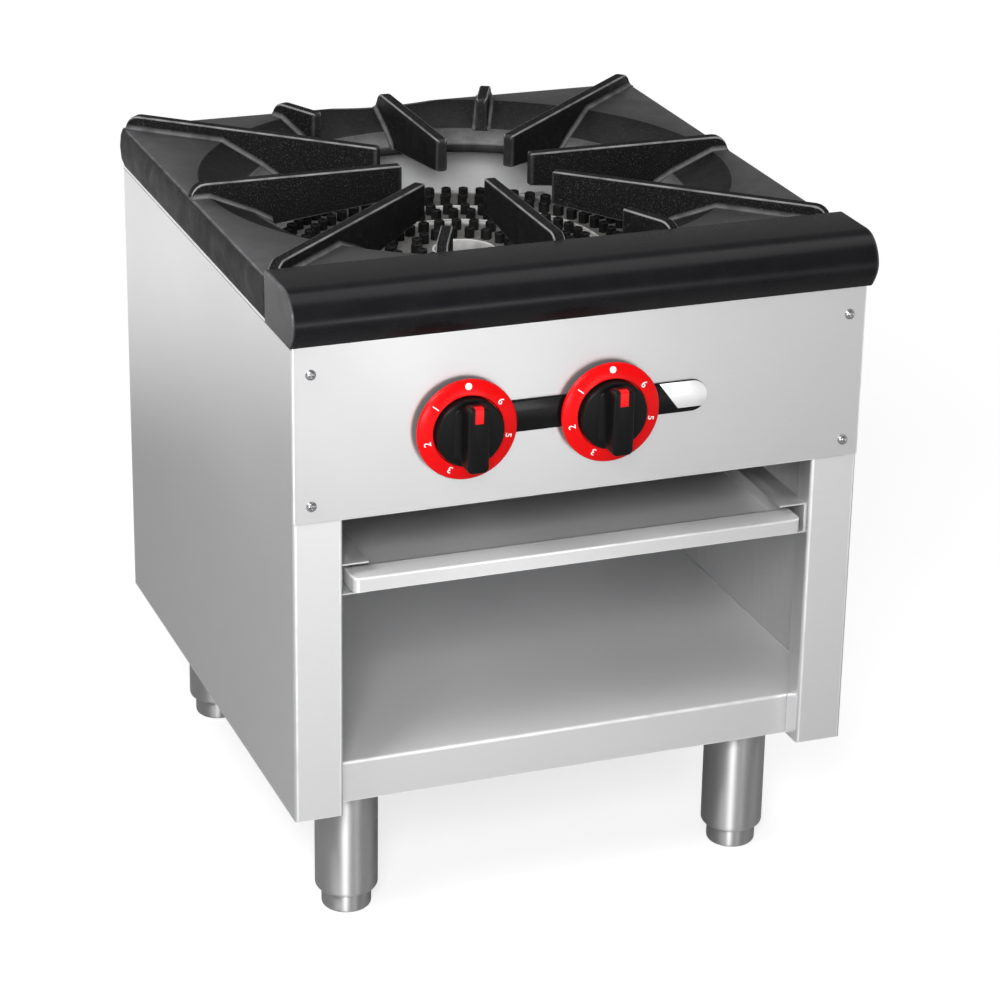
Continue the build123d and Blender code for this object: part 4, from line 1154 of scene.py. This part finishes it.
for side in ("left", "right"):
    low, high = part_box(f"dial_bezel_{side}")
    centre = ((low.x + high.x) / 2, face - sheet, (low.z + high.z) / 2)
    rim = dial_standoff + dial_rim_depth
    section = [(stem_hole, 0.0), (dial_collar, 0.0), (dial_collar, dial_standoff),
               (dial_radius - 0.0007, dial_standoff), (dial_radius, dial_standoff + 0.0007),
               (dial_radius, rim - 0.0009), (dial_radius - 0.0003, rim - 0.0003),
               (dial_radius - 0.0010, rim + 0.0002),
               (dial_well + 0.0010, dial_standoff + dial_crown - 0.0002),
               (dial_well + 0.0003, dial_standoff + dial_crown - 0.0002),
               (dial_well, dial_standoff + dial_crown - 0.0007),
               (dial_well, dial_standoff + dial_floor), (stem_hole, dial_standoff + dial_floor)]
    bm, point = new_bmesh()
    add_lathe(bm, point, section, centre, 144, "Y")
    # The backs are black, painted shade that also darkens the dials' reflection in the panel.
    mark_faces(bm, 1, lambda normal, middle: normal.y > 0.9)
    finish_piece(f"{side}_dial", bm, [dial_gloss, plate_black], "cabinet",
                 [f"dial_bezel_{side}"], 40)

    marks = bmesh.new()
    tilt = atan2(dial_crown - dial_rim_depth, dial_radius - dial_well)
    for n in range(7):
        turn = radians(n * figure_step)
        reach = dot_reach if n == 0 else figure_reach
        lift = dial_level(reach) + 0.00005
        lay_flat = (Matrix.Translation((centre[0], centre[1] - lift, centre[2]))
                    @ Matrix.Rotation(-turn, 4, "Y") @ Matrix.Translation((0, 0, reach))
                    @ Matrix.Rotation(pi / 2 - tilt, 4, "X"))
        if n == 0:
            dot = bmesh.new()
            bmesh.ops.create_circle(dot, cap_ends=True, radius=dot_radius, segments=32)
            grown = bmesh.ops.extrude_face_region(dot, geom=dot.faces[:])
            bmesh.ops.translate(dot, vec=(0, 0, 0.00025),
                                verts=[v for v in grown["geom"] if isinstance(v, bmesh.types.BMVert)])
            bmesh.ops.recalc_face_normals(dot, faces=dot.faces[:])
            mark_mesh = to_mesh("dot", dot)
        else:
            figure = bpy.data.curves.new("figure", "FONT")
            figure.body = str(n)
            figure.align_x = "CENTER"
            figure.align_y = "CENTER"
            figure.size = figure_height / capital_share
            figure.extrude = figure_relief
            holder = place_object("figure", figure)
            mark_mesh = bake(holder)
            mark_mesh.transform(Matrix.Translation((0, 0, figure_relief)))
            bpy.data.objects.remove(holder)
        mark_mesh.transform(lay_flat)
        marks.from_mesh(mark_mesh)
        bpy.data.meshes.remove(mark_mesh)
    finish_piece(f"{side}_dial_marks", marks, mark_white, "cabinet")

# ---------------------------------------------------------------- knobs
# Moulded black: a round base in the dial's well, and a grip bar with flared flanks. The line
# on the grip's top end is red.
knob_black = mottled("knob_black_moulded", 0.0, 0.32, 0.10, 1500.0, grey(0.003), grey(0.006),
                     depth=0.00004)
index_paint = mottled("index_red", 0.0, 0.3, 0.2, 300.0, (0.66, 0.002, 0.003), (0.72, 0.005, 0.006))

knob_radius = 0.0265
knob_base_depth = 0.009
knob_round = 0.0018
grip_width = 0.0165
grip_length = 0.051
grip_corner = 0.004
grip_round = 0.0014
flank = 0.0055
flank_depth = 0.0065
knob_bore = 0.004
index_half = 0.00325
index_length = 0.0118
index_wrap = 0.005
index_skin = 0.00025
flank_shrink = 0.0055
for side in ("left", "right"):
    low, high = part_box(f"knob_{side}")
    cx, cz = (low.x + high.x) / 2, (low.z + high.z) / 2
    knob_face, knob_back = low.y + index_skin, high.y
    rim = knob_back - knob_base_depth
    bm, point = new_bmesh()
    section = [(knob_bore, 0), (knob_radius, 0), (knob_radius, knob_base_depth - knob_round)]
    section += quarter((knob_radius - knob_round, knob_base_depth - knob_round), knob_round, 10, 90, 4)
    section += [(knob_bore, knob_base_depth)]
    add_lathe(bm, point, section, (cx, knob_back, cz), 96, "Y")

    def grip_loop(grow, shrink=0.0):
        wide, long = grip_width / 2 + grow, grip_length / 2 - shrink
        return rounded_rect(cx - wide, cx + wide, cz - long, cz + long, grip_corner, 6)

    levels = [(grip_loop(flank, flank_shrink), rim + 0.0004, 0)]
    levels += [(grip_loop(flank * (1 - sin(radians(t))), flank_shrink * (1 - sin(radians(t)) ** 3)),
                rim - flank_depth * (1 - cos(radians(t))), 0) for t in (0, 15, 30, 45, 60, 75, 90)]
    levels += [(grip_loop(0), knob_face + grip_round, 0)]
    levels += [(grip_loop(-grip_round * (1 - cos(radians(t))), grip_round * (1 - cos(radians(t)))),
                knob_face + grip_round * (1 - sin(radians(t))), 0) for t in (30, 60, 90)]
    add_layers(bm, point, levels, front_facing)
    finish_piece(f"{side}_knob_grip", bm, knob_black, f"{side}_knob", [f"knob_{side}"], 35)

    # The line runs up the grip's face, over its rounded end and a little way back.
    bar_top = cz + grip_length / 2
    line = [(bar_top - index_length, knob_face, 0), (bar_top - grip_round, knob_face, 0)]
    line += [(bar_top - grip_round * (1 - sin(radians(t))), knob_face + grip_round * (1 - cos(radians(t))), t)
             for t in (22, 45, 68, 90)]
    line += [(bar_top, knob_face + index_wrap, 90)]
    ribbon = [Vector((z + lift * sin(radians(t)), y - lift * cos(radians(t))))
              for lift, run in ((index_skin, line), (-index_skin, reversed(line))) for z, y, t in run]
    bm, point = new_bmesh()
    add_layers(bm, point, [(ribbon, x, 0) for x in (-index_half, -index_half + 0.0005, index_half - 0.0005,
                                                    index_half)], lambda z, y, x: (cx + x, y, z))
    finish_piece(f"{side}_knob_line", bm, index_paint, f"{side}_knob", [f"knob_index_{side}"])

# ---------------------------------------------------------------- floor, light and camera
# A plain pale floor in a pale studio, lit by soft square lamps, seen as in the photograph. Seen
# directly the floor is nearly white, its glow a little weaker near the range: painted shade round
# it. Mirrored in the range, its glow is weak near the object and rises outwards, and all but camera
# rays find a darker world, which together shade the steel.
floor_reach = 12
floor_seen = (0.73, 0.90, 0.7, 3.2)
floor_mirrored = (0.02, 0.92, 0.95, 1.5)
world_mirrored, world_seen = 0.24, 0.97
floor_mesh = bpy.data.meshes.new("studio_floor")
corners = [(x * floor_reach, y * floor_reach, 0) for x, y in ((-1, -1), (1, -1), (1, 1), (-1, 1))]
floor_mesh.from_pydata(corners, [], [(0, 1, 2, 3)])
studio_floor = place_object("studio_floor", floor_mesh)
floor_paint, tree, shader = new_material("floor_paint", 0.0, 0.9, 0.0)
away = put(tree, "ShaderNodeVectorMath", {0: object_place(tree)}, operation="LENGTH").outputs["Value"]
rays = put(tree, "ShaderNodeLightPath").outputs
seen = combine(tree, "MULTIPLY", rays["Is Camera Ray"], spread(tree, away, *floor_seen))
mirrored = combine(tree, "MAXIMUM", rays["Is Glossy Ray"], rays["Is Transmission Ray"])
mirrored_glow = combine(tree, "MULTIPLY", mirrored, spread(tree, away, *floor_mirrored))
feed(tree, shader, {
    "Base Color": (*grey(0.38), 1),
    "Emission Color": (1, 1, 1, 1),
    "Emission Strength": combine(tree, "MAXIMUM", seen, mirrored_glow),
})
floor_mesh.materials.append(floor_paint)

world = bpy.data.worlds.new("studio")
bpy.context.scene.world = world
world.use_nodes = True
rays = put(world.node_tree, "ShaderNodeLightPath").outputs
feed(world.node_tree, world.node_tree.nodes["Background"], {
    "Color": (1, 1, 1, 1),
    "Strength": spread(world.node_tree, rays["Is Camera Ray"], world_mirrored, world_seen),
})

# Each lamp's name, place, aim, size and power.
lamps = [
    ("lamp_left", (-0.95, -0.6, 1.25), (-0.1, 0, 0.35), 0.5, 11),
    ("lamp_near", (-1.1, -2.5, 0.4), (0, 0, 0.2), 0.5, 14),
    ("lamp_high", (-0.9, -2.1, 1.5), (0, 0, 0.45), 0.6, 38),
    ("lamp_front", (0.5, -2.2, 0.25), (0, 0, 0.3), 0.5, 4),
    ("lamp_right", (2.0, -1.0, 1.2), (0, 0, 0.3), 1.0, 3),
    ("lamp_top", (0.6, -0.3, 2.3), (0, 0, 0.3), 1.4, 14),
    ("lamp_rear", (-0.5, 2.2, 2.4), (0, 0, 0.3), 1.0, 8),
]
for name, spot, target, size, power in lamps:
    data = bpy.data.lights.new(name, "AREA")
    data.shape = "SQUARE"
    data.size = size
    data.energy = power
    lamp = place_object(name, data)
    lamp.location = spot
    lamp.rotation_euler = (Vector(target) - Vector(spot)).to_track_quat("-Z", "Y").to_euler()
view_place = (-0.8858, -2.3727, 1.3058)
view_lens = 3.3141
view_azimuth, view_elevation, view_roll = radians(-20.972), radians(22.498), radians(1.003)
ahead = Vector((sin(-view_azimuth) * cos(view_elevation), cos(view_azimuth) * cos(view_elevation),
                -sin(view_elevation)))
level = Vector((cos(view_azimuth), sin(view_azimuth), 0))
up = level.cross(ahead)
right = cos(view_roll) * level + sin(view_roll) * up
above = -sin(view_roll) * level + cos(view_roll) * up
view = bpy.data.cameras.new("view")
view.sensor_width = 36
view.lens = view_lens * view.sensor_width
camera = place_object("view", view)
turn = Matrix((right, above, -ahead)).transposed().to_4x4()
camera.matrix_world = Matrix.Translation(view_place) @ turn
bpy.context.scene.camera = camera
bpy.context.scene.view_settings.view_transform = "Standard"
